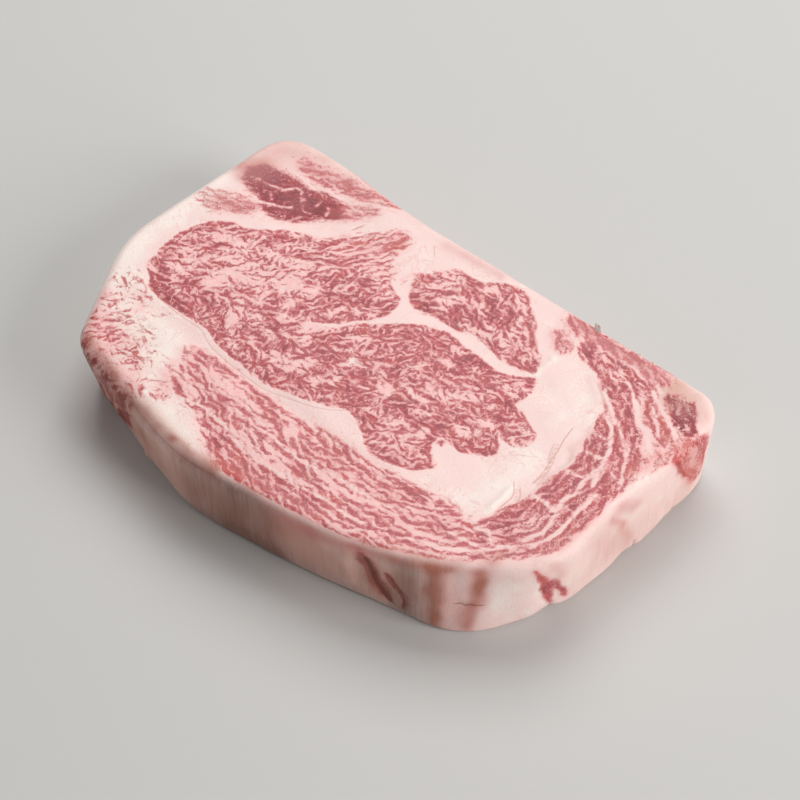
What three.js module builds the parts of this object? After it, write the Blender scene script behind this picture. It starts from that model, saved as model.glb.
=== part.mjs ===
// A raw ribeye steak, one thick slice of meat, as one closed solid.
// Millimetres, +Z up. The steak lies flat on its lower cut face at z = 0, its long axis along X.
// Its centre of plan is the origin, with the ribs' side towards +Y and the fat cap towards -Y.

import * as THREE from 'three';
import * as BufferGeometryUtils from 'three/addons/utils/BufferGeometryUtils.js';

// ---------------------------------------------------------------- driving sizes

const THICKNESS = 30; // the cut, from the lower face to the upper face
const SEGMENTS = 144; // steps round the outline
const RIM_RINGS = 5; // steps over the rounded upper edge
const WALL_RINGS = 5; // steps up the side
const HEEL_RINGS = 4; // steps over the rounded lower edge
const FACE_RINGS = 9; // steps from the upper edge to the middle of the upper face
const BASE_RINGS = 3; // steps from the lower edge to the middle of the lower face

// The outline is a polygon with rounded corners, once for the upper edge and once for the lower edge.
// Each corner: its place, and how far from it along both sides the rounding starts.
const CORNERS = [
  { name: 'rib end, back', rim: [-98.1, 64.9, 15], base: [-96.5, 63.3, 12] },
  { name: 'rib end, front', rim: [-101.3, -13.3, 12], base: [-98.9, -15.3, 12] },
  { name: 'cap end', rim: [-78.5, -56.2, 8], base: [-77.7, -50.3, 9] },
  { name: 'cap, left', rim: [-44.3, -62.4, 10], base: [-41.3, -59.9, 12] },
  { name: 'cap, middle', rim: [-18.3, -67.3, 15], base: [-14.3, -65.3, 15] },
  { name: 'cap, right', rim: [59.7, -54.5, 30], base: [80.7, -44.7, 12] },
  { name: 'cap, corner', rim: [98.5, -22.8, 13], base: [96.1, -16.8, 9] },
  { name: 'waist of the tail side', rim: [96.9, 11.7, 12], base: [99.3, 9.7, 12] },
  { name: 'tail', rim: [101.5, 35.2, 12], base: [100.9, 37.7, 10] },
  { name: 'tail tip', rim: [100.5, 56.2, 5], base: [99.9, 55.2, 4.5] },
  { name: 'back, right', rim: [94.2, 65.3, 6], base: [92.7, 63.1, 5.5] },
  { name: 'back, dip', rim: [-32.3, 62.7, 16], base: [-31.3, 61.7, 16] },
  { name: 'back, bulge', rim: [-70.3, 66.1, 14], base: [-70.3, 64.3, 14] },
];

// Rounding of the upper edge: tighter all round, softer along the fat cap's left end.
const RIM_RADIUS = 3.6;
const RIM_SOFTER = { x: -56.3, y: -60.3, reach: 46, by: 2.6 };

// Rounding of the lower edge, and the places where the heel of the side is cut away or torn.
const HEEL_RADIUS = 1.8;
const HEEL_HOLLOWS = [
  { name: 'under the cap end', x: -60.3, y: -57.3, reach: 19, by: 3.4 },
  { name: 'step under the cap', x: -36.3, y: -61.3, reach: 12, by: 2.0 },
  { name: 'notch at the cap corner', x: 97.2, y: -18.8, reach: 4.5, by: 3.2 },
  { name: 'notch below the waist', x: 98.9, y: 13.7, reach: 5.0, by: 3.0 },
  { name: 'notch below the tail', x: 101.2, y: 35.7, reach: 7.0, by: 3.0 },
];

// Dents and bulges of the side: place on the outline, height, size along it, size up it, depth.
const SIDE_FORMS = [
  { name: 'long slit in the cap', x: 49.3, y: -55.9, z: 17, reach: 3.6, rise: 8.5, out: -1.6 },
  { name: 'short slit in the cap', x: 57.1, y: -52.1, z: 13, reach: 3.2, rise: 6.0, out: -1.1 },
  { name: 'gap at the cap corner', x: 96.9, y: -20.3, z: 12, reach: 4.2, rise: 8.0, out: -1.4 },
  { name: 'gap under the tail', x: 102.7, y: 41.7, z: 19, reach: 6.0, rise: 7.0, out: -1.2 },
  { name: 'swell of the cap', x: -6.3, y: -66.3, z: 14, reach: 34.0, rise: 12.0, out: 0.7 },
  { name: 'foot of the cap', x: 31.9, y: -60.0, z: 2, reach: 26.0, rise: 12.0, out: 1.2 },
  { name: 'swell at the rib end', x: -99.3, y: 23.7, z: 15, reach: 30.0, rise: 12.0, out: 0.6 },
  { name: 'swell of the back', x: 35.7, y: 63.7, z: 14, reach: 40.0, rise: 12.0, out: 0.6 },
];

// Hollows and swells of the upper cut face: centre, half sizes, and how far it rises.
const FACE_FORMS = [
  { name: 'eye', x: -12, y: -1, along: 62, across: 26, rise: 0.8 },
  { name: 'rib-side muscle', x: -66, y: 43, along: 26, across: 14, rise: -1.5 },
  { name: 'seam over the eye', x: 20, y: 31, along: 30, across: 5, rise: -0.5 },
  { name: 'fat pool', x: 56, y: -3, along: 14, across: 26, rise: -0.7 },
  { name: 'seam under the eye', x: -18, y: -30, along: 52, across: 4, rise: -0.6 },
  { name: 'cap', x: 8, y: -45, along: 60, across: 12, rise: 0.5 },
  { name: 'tail bundles', x: 86, y: 23, along: 12, across: 34, rise: 0.6 },
  { name: 'cap end fat', x: -70, y: -43, along: 14, across: 14, rise: -0.6 },
];

// ---------------------------------------------------------------- outlines

/** A closed path through the corners of one outline, each corner rounded by one curve. */
function roundedPath(corners) {
  const path = new THREE.Path();
  const at = ([x, y]) => new THREE.Vector2(x, y);
  corners.forEach((corner, i) => {
    const here = at(corner);
    const before = at(corners.at(i - 1));
    const after = at(corners[(i + 1) % corners.length]);
    const start = here.clone().add(before.sub(here).setLength(corner[2]));
    const end = here.clone().add(after.sub(here).setLength(corner[2]));
    if (i === 0) path.moveTo(start.x, start.y);
    else path.lineTo(start.x, start.y);
    path.quadraticCurveTo(here.x, here.y, end.x, end.y);
  });
  path.closePath();
  return path;
}

/** The points of a closed path, evenly spaced along it. */
function spacedPoints(corners, count) {
  return roundedPath(corners).getSpacedPoints(count).slice(0, count);
}

/** The point of a closed outline that lies in the same direction from the origin as the given point. */
function pointInDirection(outline, point) {
  const direction = point.clone().normalize();
  for (let i = 0; i < outline.length; i += 1) {
    const a = outline[i];
    const b = outline[(i + 1) % outline.length];
    const crossA = direction.cross(a);
    const crossB = direction.cross(b);
    const ahead = direction.dot(a) > 0;
    if (ahead && crossA <= 0 && crossB > 0) return a.clone().lerp(b, crossA / (crossA - crossB));
  }
  return point.clone();
}

/** The outward normals of a closed outline that runs counter-clockwise. */
function outwardNormals(outline) {
  return outline.map((_, i) => {
    const before = outline.at(i - 1);
    const after = outline[(i + 1) % outline.length];
    const along = after.clone().sub(before).normalize();
    return new THREE.Vector2(along.y, -along.x);
  });
}

const rimOutline = spacedPoints(CORNERS.map((corner) => corner.rim), SEGMENTS);
const fineBase = spacedPoints(CORNERS.map((corner) => corner.base), SEGMENTS * 4);
const baseOutline = rimOutline.map((point) => pointInDirection(fineBase, point));
const normals = outwardNormals(rimOutline);

// ---------------------------------------------------------------- surface

/** A smooth bump of height 1 that falls to nothing past about twice the reach. */
function bump(distance, reach) {
  return Math.exp(-((distance / reach) ** 2));
}

/** How near an outline point is to a named place, as a bump. */
function nearness(point, form) {
  return bump(Math.hypot(point.x - form.x, point.y - form.y), form.reach);
}

/** Height of the upper cut face above the lower one. */
function faceHeight(x, y) {
  const relief = FACE_FORMS.map((form) => {
    const distance = Math.hypot((x - form.x) / form.along, (y - form.y) / form.across);
    return form.rise * bump(distance, 1);
  });
  return THICKNESS + relief.reduce((sum, rise) => sum + rise, 0);
}

/** A point of the side at outline step i and height z, before the edges are rounded. */
function sidePoint(i, z) {
  const point = baseOutline[i].clone().lerp(rimOutline[i], z / THICKNESS);
  const out = SIDE_FORMS.reduce((sum, form) => {
    return sum + form.out * nearness(rimOutline[i], form) * bump(z - form.z, form.rise);
  }, 0);
  return point.addScaledVector(normals[i], out);
}

/** Radius of the upper edge at outline step i. */
function rimRadius(i) {
  return RIM_RADIUS + RIM_SOFTER.by * nearness(rimOutline[i], RIM_SOFTER);
}

/** Radius of the lower edge at outline step i. */
function heelRadius(i) {
  const hollow = HEEL_HOLLOWS.reduce((sum, form) => sum + form.by * nearness(rimOutline[i], form), 0);
  return HEEL_RADIUS + hollow;
}

/** The column of points at outline step i, from the lower edge up to the start of the upper face. */
function sideColumn(i) {
  const heel = heelRadius(i);
  const rim = rimRadius(i);
  const column = [];
  for (let k = 0; k < HEEL_RINGS; k += 1) {
    const angle = (Math.PI / 2) * (k / HEEL_RINGS);
    const z = heel * (1 - Math.cos(angle));
    const inset = heel * (1 - Math.sin(angle));
    column.push([sidePoint(i, z).addScaledVector(normals[i], -inset), z]);
  }
  for (let k = 0; k <= WALL_RINGS; k += 1) {
    const z = THREE.MathUtils.lerp(heel, THICKNESS - rim, k / WALL_RINGS);
    column.push([sidePoint(i, z), z]);
  }
  for (let k = 1; k <= RIM_RINGS; k += 1) {
    const angle = (Math.PI / 2) * (k / RIM_RINGS);
    const z = THICKNESS - rim + rim * Math.sin(angle);
    const inset = rim * (1 - Math.cos(angle));
    const point = sidePoint(i, z).addScaledVector(normals[i], -inset);
    const lift = (faceHeight(point.x, point.y) - THICKNESS) * Math.sin(angle);
    column.push([point, z + lift]);
  }
  return column;
}

/** The rings of the whole surface, from the lower face's middle outwards, up the side and inwards again. */
function surfaceRings() {
  const columns = rimOutline.map((_, i) => sideColumn(i));
  const lowerEdge = columns.map((column) => column[0]);
  const upperEdge = columns.map((column) => column.at(-1));
  const rings = [];
  for (let k = 1; k < BASE_RINGS; k += 1) {
    const share = k / BASE_RINGS;
    rings.push(lowerEdge.map(([point]) => [point.clone().multiplyScalar(share), 0]));
  }
  for (let k = 0; k < columns[0].length; k += 1) {
    rings.push(columns.map((column) => column[k]));
  }
  for (let k = FACE_RINGS - 1; k >= 1; k -= 1) {
    const share = k / FACE_RINGS;
    rings.push(upperEdge.map(([point]) => {
      const inner = point.clone().multiplyScalar(share);
      return [inner, faceHeight(inner.x, inner.y)];
    }));
  }
  return rings;
}

/** One closed geometry from rings of points, with a fan at either end. */
function closedFromRings(rings) {
  const positions = [];
  const faces = [];
  for (const ring of rings) {
    for (const [point, z] of ring) positions.push(point.x, point.y, z);
  }
  const lowerMiddle = positions.length / 3;
  positions.push(0, 0, 0);
  const upperMiddle = lowerMiddle + 1;
  positions.push(0, 0, faceHeight(0, 0));
  const lastRing = (rings.length - 1) * SEGMENTS;
  for (let i = 0; i < SEGMENTS; i += 1) {
    const next = (i + 1) % SEGMENTS;
    faces.push(lowerMiddle, next, i);
    faces.push(upperMiddle, lastRing + i, lastRing + next);
    for (let k = 0; k < rings.length - 1; k += 1) {
      const low = k * SEGMENTS;
      const high = low + SEGMENTS;
      faces.push(low + i, low + next, high + next);
      faces.push(low + i, high + next, high + i);
    }
  }
  const geometry = new THREE.BufferGeometry();
  geometry.setAttribute('position', new THREE.Float32BufferAttribute(positions, 3));
  geometry.setIndex(faces);
  const merged = BufferGeometryUtils.mergeVertices(geometry);
  merged.computeVertexNormals();
  return merged;
}

// ---------------------------------------------------------------- the part

const meat = new THREE.MeshStandardMaterial({ color: 0xd99a96, roughness: 0.5, metalness: 0 });
const steak = new THREE.Mesh(closedFromRings(surfaceRings()), meat);
steak.name = 'steak';

const group = new THREE.Group();
group.add(steak);

export default group;
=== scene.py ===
import logging
import math
from dataclasses import dataclass
from enum import Enum
from statistics import NormalDist

import bpy
import numpy as np
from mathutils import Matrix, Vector


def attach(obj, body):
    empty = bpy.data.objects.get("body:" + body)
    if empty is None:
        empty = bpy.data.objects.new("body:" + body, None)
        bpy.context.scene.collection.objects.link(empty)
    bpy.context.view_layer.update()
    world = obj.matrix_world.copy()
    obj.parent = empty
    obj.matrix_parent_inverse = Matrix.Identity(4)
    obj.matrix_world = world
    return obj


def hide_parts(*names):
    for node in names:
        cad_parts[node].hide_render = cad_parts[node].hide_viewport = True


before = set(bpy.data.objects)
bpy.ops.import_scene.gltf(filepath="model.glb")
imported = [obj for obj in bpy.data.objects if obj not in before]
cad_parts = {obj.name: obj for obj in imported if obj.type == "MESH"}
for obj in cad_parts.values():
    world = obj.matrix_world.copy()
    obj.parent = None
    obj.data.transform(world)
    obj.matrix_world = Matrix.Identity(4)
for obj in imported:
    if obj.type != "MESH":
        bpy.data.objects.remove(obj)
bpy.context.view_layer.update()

LOG = logging.getLogger("ribeye_steak")

MM = 0.001
THICKNESS = 30.0
BODY = "root"
NODE = "steak"

HUGE = 1e9
TINY = 1e-9
TIE = 1e-12

Array = np.ndarray
Span = tuple[float, float]
Path = tuple[Span, ...]
Colour = tuple[float, float, float, float]
Triple = tuple[float, float, float]
Stroke = tuple[float, float, float, float, float, float]


# --- Plan curves


def bump(distance: Array, reach: float) -> Array:
    """A bell of height one: e to the minus square of the distance over the reach."""
    return np.exp(-((distance / reach) ** 2))


def ease(value: Array, low: float, high: float) -> Array:
    """A smooth step from 0 at low to 1 at high: three t squared minus two t cubed."""
    t = np.clip((value - low) / (high - low), 0.0, 1.0)
    return t * t * (3.0 - 2.0 * t)


def smooth_path(points: tuple, closed: bool, steps: int = 7) -> Array:
    """A Catmull-Rom curve: each stretch is a cubic through two points with their neighbours' slopes.

    Args:
        points: The corners of the path, as pairs in mm.
        closed: Whether the last point joins the first.
        steps: The pieces that each stretch is cut into.

    Returns:
        The curve's points, with the first repeated at the end of a closed one.
    """
    p = np.asarray(points, float)
    if closed:
        before, here, after, beyond = np.roll(p, 1, 0), p, np.roll(p, -1, 0), np.roll(p, -2, 0)
    else:
        p = np.vstack([2 * p[0] - p[1], p, 2 * p[-1] - p[-2]])
        before, here, after, beyond = p[:-3], p[1:-2], p[2:-1], p[3:]
    t = (np.arange(steps) / steps)[None, :, None]
    before, here, after, beyond = (q[:, None, :] for q in (before, here, after, beyond))
    slope = (after - before) * t
    square = (2 * before - 5 * here + 4 * after - beyond) * t**2
    cube = (3 * here - before - 3 * after + beyond) * t**3
    curve = 0.5 * (2 * here + slope + square + cube)
    last = here[:1, 0] if closed else after[-1:, 0]
    return np.vstack([curve.reshape(-1, 2), last])


def path_distance(
    x: Array, y: Array, path: Array
) -> tuple[Array, Array, Array]:
    """How far each point is from a path: the least distance to any of its straight stretches.

    Args:
        x: The points' first coordinates, in mm.
        y: Their second coordinates.
        path: The path's points.

    Returns:
        The distance, whether the point is inside the path if it is closed (an odd number of
        crossings to one side), and the side of the path it lies on, as -1 or 1.
    """
    best = np.full(x.shape, HUGE)
    side = np.ones(x.shape)
    inside = np.zeros(x.shape, bool)
    for (ax, ay), (bx, by) in zip(path[:-1], path[1:]):
        ex, ey = bx - ax, by - ay
        length = max(ex * ex + ey * ey, TINY)
        t = np.clip(((x - ax) * ex + (y - ay) * ey) / length, 0.0, 1.0)
        dx, dy = x - ax - t * ex, y - ay - t * ey
        distance = np.hypot(dx, dy)
        nearer = distance < best
        best = np.where(nearer, distance, best)
        side = np.where(nearer, np.sign(ex * dy - ey * dx + TIE), side)
        if (ay > by) or (by > ay):
            crosses = ((ay > y) != (by > y)) & (x < ax + (y - ay) / ey * ex)
            inside ^= crosses
    return best, inside, side


# --- The outline


@dataclass(frozen=True)
class Corner:
    """A corner of the outline: where its straight sides would meet, and how far its rounding cuts in."""

    name: str
    rim: Triple
    base: Triple


CORNERS = (
    Corner("rib end, back", (-98.1, 64.9, 15), (-96.5, 63.3, 12)),
    Corner("rib end, front", (-101.3, -13.3, 12), (-98.9, -15.3, 12)),
    Corner("cap end", (-78.5, -56.2, 8), (-77.7, -50.3, 9)),
    Corner("cap, left", (-44.3, -62.4, 10), (-41.3, -59.9, 12)),
    Corner("cap, middle", (-18.3, -67.3, 15), (-14.3, -65.3, 15)),
    Corner("cap, right", (59.7, -54.5, 30), (80.7, -44.7, 12)),
    Corner("cap, corner", (98.5, -22.8, 13), (96.1, -16.8, 9)),
    Corner("waist of the tail side", (96.9, 11.7, 12), (99.3, 9.7, 12)),
    Corner("tail", (101.5, 35.2, 12), (100.9, 37.7, 10)),
    Corner("tail tip", (100.5, 56.2, 5), (99.9, 55.2, 4.5)),
    Corner("back, right", (94.2, 65.3, 6), (92.7, 63.1, 5.5)),
    Corner("back, dip", (-32.3, 62.7, 16), (-31.3, 61.7, 16)),
    Corner("back, bulge", (-70.3, 66.1, 12.4), (-70.3, 64.3, 14)),
)
GRID_CORNERS = ("rib end, back", "cap end", "cap, corner", "back, right")


class Level(Enum):
    """The two heights at which the outline is given."""

    RIM = "rim"
    BASE = "base"


@dataclass(frozen=True)
class Columns:
    """Upright lines round the wall: where each meets rim and base, its outward normal and its place."""

    rim: Array
    base: Array
    normal: Array
    s: Array


@dataclass(frozen=True)
class Outline:
    """The steak's plan outline, rounded at each corner by a quadratic curve that the corner controls."""

    corners: tuple[Corner, ...] = CORNERS
    steps: int = 24
    tangent_reach: float = 1.2

    def trace(self, level: Level) -> tuple[Array, Array]:
        """The closed outline as points, and the index of each corner's middle among them.

        The rounding is (1-t) squared times its start, plus 2t(1-t) times the corner, plus t squared times
        its end, and the sides between are straight.
        """
        data = np.array([getattr(c, level.value) for c in self.corners], float)
        p, cut = data[:, :2], data[:, 2:]
        back = np.roll(p, 1, 0) - p
        ahead = np.roll(p, -1, 0) - p
        start = p + back / np.linalg.norm(back, axis=1, keepdims=True) * cut
        end = p + ahead / np.linalg.norm(ahead, axis=1, keepdims=True) * cut
        t = (np.arange(self.steps) / self.steps)[None, :, None]
        curve = (1 - t) ** 2 * start[:, None] + 2 * t * (1 - t) * p[:, None] + t**2 * end[:, None]
        side = end[:, None] + (np.roll(start, -1, 0) - end)[:, None] * t
        points = np.concatenate([curve, side], axis=1).reshape(-1, 2)
        middles = np.arange(len(self.corners)) * 2 * self.steps + self.steps // 2
        return points, middles

    def _rim_loop(self) -> tuple[Array, Array]:
        """The rim with its first point repeated, and how far along it each point lies."""
        rim, _ = self.trace(Level.RIM)
        loop = np.vstack([rim, rim[:1]])
        return loop, np.r_[0, np.cumsum(np.linalg.norm(np.diff(loop, axis=0), axis=1))]

    def columns(self, along_x: int, along_y: int) -> Columns:
        """Columns evenly spaced on each of the four sides between the grid corners, counter-clockwise.

        The foot of a column lies on the base outline in the same direction from the middle as its head,
        and its normal is the rim's direction turned a quarter clockwise.

        Args:
            along_x: Cells on the front and on the back.
            along_y: Cells on the left and on the right.

        Returns:
            The columns, with s the distance along the rim in mm.
        """
        _, middles = self.trace(Level.RIM)
        _, arc = self._rim_loop()
        names = [c.name for c in self.corners]
        stops = [arc[middles[names.index(n)]] for n in GRID_CORNERS]
        stops.append(stops[0] + arc[-1])
        counts = (along_y, along_x, along_y, along_x)
        runs = zip(stops, stops[1:], counts)
        return self.at(np.concatenate([a + (b - a) * np.arange(n) / n for a, b, n in runs]))

    def _on_rim(self, s: Array) -> Array:
        """The rim's points at distances s along it."""
        loop, arc = self._rim_loop()
        s = s % arc[-1]
        return np.stack([np.interp(s, arc, loop[:, 0]), np.interp(s, arc, loop[:, 1])], axis=1)

    def at(self, s: Array) -> Columns:
        """The columns at distances s along the rim, in mm from the first corner's rounding."""
        base, _ = self.trace(Level.BASE)
        head = self._on_rim(s)
        tangent = self._on_rim(s + self.tangent_reach) - self._on_rim(s - self.tangent_reach)
        tangent /= np.linalg.norm(tangent, axis=1, keepdims=True)
        turn = np.arctan2(base[:, 1], base[:, 0])
        order = np.argsort(turn)
        radius = np.hypot(base[:, 0], base[:, 1])[order]
        heading = np.arctan2(head[:, 1], head[:, 0])
        reach = np.interp(heading, turn[order], radius, period=2 * math.pi)
        foot = np.stack([np.cos(heading), np.sin(heading)], axis=1) * reach[:, None]
        return Columns(head, foot, np.stack([tangent[:, 1], -tangent[:, 0]], axis=1), s)

    def length(self) -> float:
        """The rim's length, in mm."""
        rim, _ = self.trace(Level.RIM)
        return float(np.linalg.norm(np.roll(rim, -1, 0) - rim, axis=1).sum())


# --- The rounded forms of face and wall


@dataclass(frozen=True)
class FaceForm:
    """A gentle rise or dip of the cut face: a bell with its own reach along and across."""

    name: str
    x: float
    y: float
    along: float
    across: float
    rise: float


@dataclass(frozen=True)
class WallForm:
    """A swell or hollow of the wall, round a point of the rim and a height."""

    name: str
    x: float
    y: float
    z: float
    reach: float
    rise: float
    out: float


@dataclass(frozen=True)
class Softening:
    """A place where the rounding of an edge is larger than elsewhere."""

    x: float
    y: float
    reach: float
    by: float


FACE_FORMS = (
    FaceForm("eye", -12, -1, 62, 26, 0.8),
    FaceForm("rib-side muscle", -66, 43, 26, 14, -1.5),
    FaceForm("seam over the eye", 20, 31, 30, 5, -0.5),
    FaceForm("fat pool", 56, -3, 14, 26, -0.7),
    FaceForm("seam under the eye", -18, -30, 52, 4, -0.6),
    FaceForm("cap", 8, -45, 60, 12, 0.5),
    FaceForm("tail bundles", 86, 23, 12, 34, 0.6),
    FaceForm("cap end fat", -70, -43, 14, 14, -0.6),
)
WALL_FORMS = (
    WallForm("long slit", 49.3, -55.9, 17, 3.6, 8.5, -1.6),
    WallForm("short slit", 57.1, -52.1, 13, 3.2, 6, -1.1),
    WallForm("gap at the cap corner", 96.9, -20.3, 12, 4.2, 8, -1.4),
    WallForm("gap under the tail", 102.7, 41.7, 19, 6, 7, -1.2),
    WallForm("swell of the cap", -6.3, -66.3, 14, 34, 12, 0.7),
    WallForm("foot of the cap", 31.9, -60, 2, 26, 12, 1.2),
    WallForm("swell of the rib end", -99.3, 23.7, 15, 30, 12, 0.6),
    WallForm("swell of the back", 35.7, 63.7, 14, 40, 12, 0.6),
)
RIM_RADIUS = 3.6
RIM_SOFTER = (Softening(-56.3, -60.3, 46, 2.6),)
HEEL_RADIUS = 1.8
HEEL_HOLLOWS = (
    Softening(-60.3, -57.3, 19, 3.4),
    Softening(-36.3, -61.3, 12, 2.0),
    Softening(97.2, -18.8, 4.5, 3.2),
    Softening(98.9, 13.7, 5, 3),
    Softening(101.2, 35.7, 7, 3),
)


def softened(columns: Columns, radius: float, places: tuple[Softening, ...]) -> Array:
    """An edge's rounding at each column: the plain radius plus a bell at each softer place."""
    x, y = columns.rim[:, 0], columns.rim[:, 1]
    return radius + sum([q.by * bump(np.hypot(x - q.x, y - q.y), q.reach) for q in places])


def face_height(x: Array, y: Array) -> Array:
    """The cut face's height: the thickness plus a bell for each of its forms."""
    bells = [np.exp(-(((x - f.x) / f.along) ** 2) - ((y - f.y) / f.across) ** 2) for f in FACE_FORMS]
    return THICKNESS + sum([f.rise * bell for f, bell in zip(FACE_FORMS, bells)])


def wall_push(columns: Columns, z: Array) -> Array:
    """How far the wall stands out of its slope: for each form a bell in plan times a bell in height."""
    x, y = columns.rim[:, 0], columns.rim[:, 1]
    near = [bump(np.hypot(x - f.x, y - f.y), f.reach) for f in WALL_FORMS]
    return sum(f.out * n * bump(z - f.z, f.rise) for f, n in zip(WALL_FORMS, near))


# --- Marbling


@dataclass(frozen=True)
class Raster:
    """An even grid of sample places over a flat stretch of the meat, in mm."""

    x0: float
    y0: float
    step: float
    nx: int
    ny: int

    def grid(self) -> tuple[Array, Array]:
        """The two coordinates of every sample place."""
        xs = self.x0 + self.step * np.arange(self.nx)
        ys = self.y0 + self.step * np.arange(self.ny)
        return np.meshgrid(xs, ys)

    def sample(self, values: Array, x: Array, y: Array) -> Array:
        """The values at points between the sample places, weighted by nearness to the four round each."""
        u = np.clip((x - self.x0) / self.step, 0, self.nx - 1.001)
        v = np.clip((y - self.y0) / self.step, 0, self.ny - 1.001)
        i, j = u.astype(int), v.astype(int)
        fu, fv = u - i, v - j
        low = values[j, i] * (1 - fu) + values[j, i + 1] * fu
        high = values[j + 1, i] * (1 - fu) + values[j + 1, i + 1] * fu
        return low * (1 - fv) + high * fv


@dataclass(frozen=True)
class Grain:
    """How the fibres run at one place, in degrees from the x axis, and how far its say reaches."""

    x: float
    y: float
    degrees: float
    reach: float = 8.0


class Fibre:
    """Noise smeared along the grain: in frequency, white noise times a difference of stretched bells."""

    BINS = 12
    WIDER = 2.6
    BLUNTING = 0.3
    DRAWS_PER_SEED = 100

    def __init__(self, raster: Raster, grain: tuple[Grain, ...], seed: int) -> None:
        """Works out the directions.

        Args:
            raster: Where the noise is wanted.
            grain: The fibre directions.
            seed: Of the random draws.
        """
        self.raster = raster
        self.seed = seed
        self.weights = self._direction_weights(grain)
        self.fx = np.fft.fftfreq(raster.nx, raster.step)[None, :]
        self.fy = np.fft.fftfreq(raster.ny, raster.step)[:, None]

    def _direction_weights(self, grain: tuple[Grain, ...]) -> list[Array]:
        """Each direction bin's share at each place: the guides' doubled angles, averaged by nearness."""
        x, y = self.raster.grid()
        cosine, sine = np.zeros(x.shape), np.zeros(x.shape)
        for g in grain:
            say = 1.0 / (((x - g.x) ** 2 + (y - g.y) ** 2) / g.reach**2 + self.BLUNTING) ** 2
            cosine += say * math.cos(2 * math.radians(g.degrees))
            sine += say * math.sin(2 * math.radians(g.degrees))
        length = np.maximum(np.hypot(cosine, sine), TINY)
        self.cosine, self.sine = cosine / length, sine / length
        angle = (0.5 * np.arctan2(sine, cosine)) % math.pi
        slot = angle / (math.pi / self.BINS)
        weights = []
        for k in range(self.BINS):
            gap = np.abs((slot - k + self.BINS / 2) % self.BINS - self.BINS / 2)
            weights.append(np.clip(1.0 - gap, 0.0, 1.0))
        return weights

    def field(self, across: float, stretch: float, draw: int, wider: float = WIDER) -> Array:
        """One noise field of unit spread.

        Args:
            across: The bell's width across the grain, in mm.
            stretch: How many times longer it is along the grain.
            draw: Which random draw to use.
            wider: How many times wider the bell is that is taken away.

        Returns:
            The field on the raster.
        """
        rng = np.random.default_rng(self.seed * self.DRAWS_PER_SEED + draw)
        white = np.fft.fft2(rng.standard_normal((self.raster.ny, self.raster.nx)))
        total = np.zeros((self.raster.ny, self.raster.nx))
        for k, weight in enumerate(self.weights):
            if not weight.any():
                continue
            turn = k * math.pi / self.BINS
            u = self.fx * math.cos(turn) + self.fy * math.sin(turn)
            v = -self.fx * math.sin(turn) + self.fy * math.cos(turn)
            power = 2 * math.pi**2 * across**2 * ((stretch * u) ** 2 + v**2)
            kernel = np.exp(-power) - np.exp(-power * wider**2)
            total += weight * np.fft.ifft2(white * kernel).real
        return total / total.std()


class Draw(Enum):
    """The random draws of one cut surface."""

    CLUSTER = 2
    TONE = 4
    WARP_X = 5
    WARP_Y = 6
    FAT = 7
    RELIEF = 8
    WANDER = 9


@dataclass(frozen=True)
class Muscle:
    """A muscle's cut: its border, how much of it is lean, and the tone and run of its flecks.

    tone runs from 0, pale brown-pink, over 0.5, rose, to 1, maroon. streak is how many times longer than
    wide the clusters of flecks are, bold how strongly lean and fat part, edge how soft the border is,
    gather how much the flecks keep together, threads how strong the curled threads are, rim how much
    denser the lean is along the border, and wander how far the flecks turn from the grain, in radians.
    """

    border: Path
    share: float = 0.6
    tone: float = 0.5
    streak: float = 1.5
    bold: float = 1.0
    edge: float = 1.0
    gather: float = 1.0
    threads: float = 0.5
    rim: float = 0.0
    wander: float = 0.25

    def traits(self) -> dict[str, float]:
        """What fades from one muscle to the next; draw is how far the flecks follow the grain."""
        same = {name: getattr(self, name) for name in ("tone", "bold", "threads", "wander")}
        return same | {"draw": min(self.streak - 1.0, 1.0)}


@dataclass(frozen=True)
class Island:
    """A patch of fat, or of lean, inside something else: an ellipse of half sizes a and b, tilted."""

    x: float
    y: float
    a: float
    b: float
    tilt: float = 0.0
    lean: bool = False


@dataclass(frozen=True)
class Seam:
    """A band of fat between fibres, of a width in mm, along a smooth path."""

    path: Path
    width: float


@dataclass(frozen=True)
class Groove:
    """A fine line in the surface: its path, its width and depth in mm, and how dark it is."""

    path: Path
    width: float = 0.5
    depth: float = 0.1
    dark: float = 0.6


class Tone(Enum):
    """What the soft strokes on a cut surface add to."""

    LEANER = "leaner"
    DEEP = "tone"
    CREAM = "cream"
    DULL = "dull"
    FLUSH = "flush"
    STAIN = "stain"
    WASH = "wash"
    # Painted shade: strokes that darken the front-left wall, which faces away from the lamps, its slits and
    # the turn of its corner.
    SHADE = "shade"
    HEIGHT = "height"


@dataclass(frozen=True)
class Lumps:
    """A noise's lumps: mm across the grain, times longer along it, times wider the bell taken away."""

    across: float
    streak: float = 1.0
    wider: float = Fibre.WIDER


@dataclass(frozen=True)
class Paint:
    """How a tone's strokes become a field: the noise that mottles them, its strength, and the ceiling."""

    tone: Tone
    noise: Draw
    mottle: float
    most: float


@dataclass(frozen=True)
class CutPlan:
    """Everything that is laid out on one cut surface."""

    muscles: tuple[Muscle, ...]
    grain: tuple[Grain, ...]
    islands: tuple[Island, ...]
    seams: tuple[Seam, ...]
    grooves: tuple[Groove, ...]
    tints: dict[Tone, tuple[Stroke, ...]]


def grains(*rows: tuple[float, ...]) -> tuple[Grain, ...]:
    """The fibre directions laid out as rows of numbers."""
    return tuple(Grain(*row) for row in rows)


def islands(*rows: tuple[float, ...], lean: bool = False) -> tuple[Island, ...]:
    """Islands of one kind laid out as rows of numbers."""
    return tuple(Island(*row, lean=lean) for row in rows)


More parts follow.
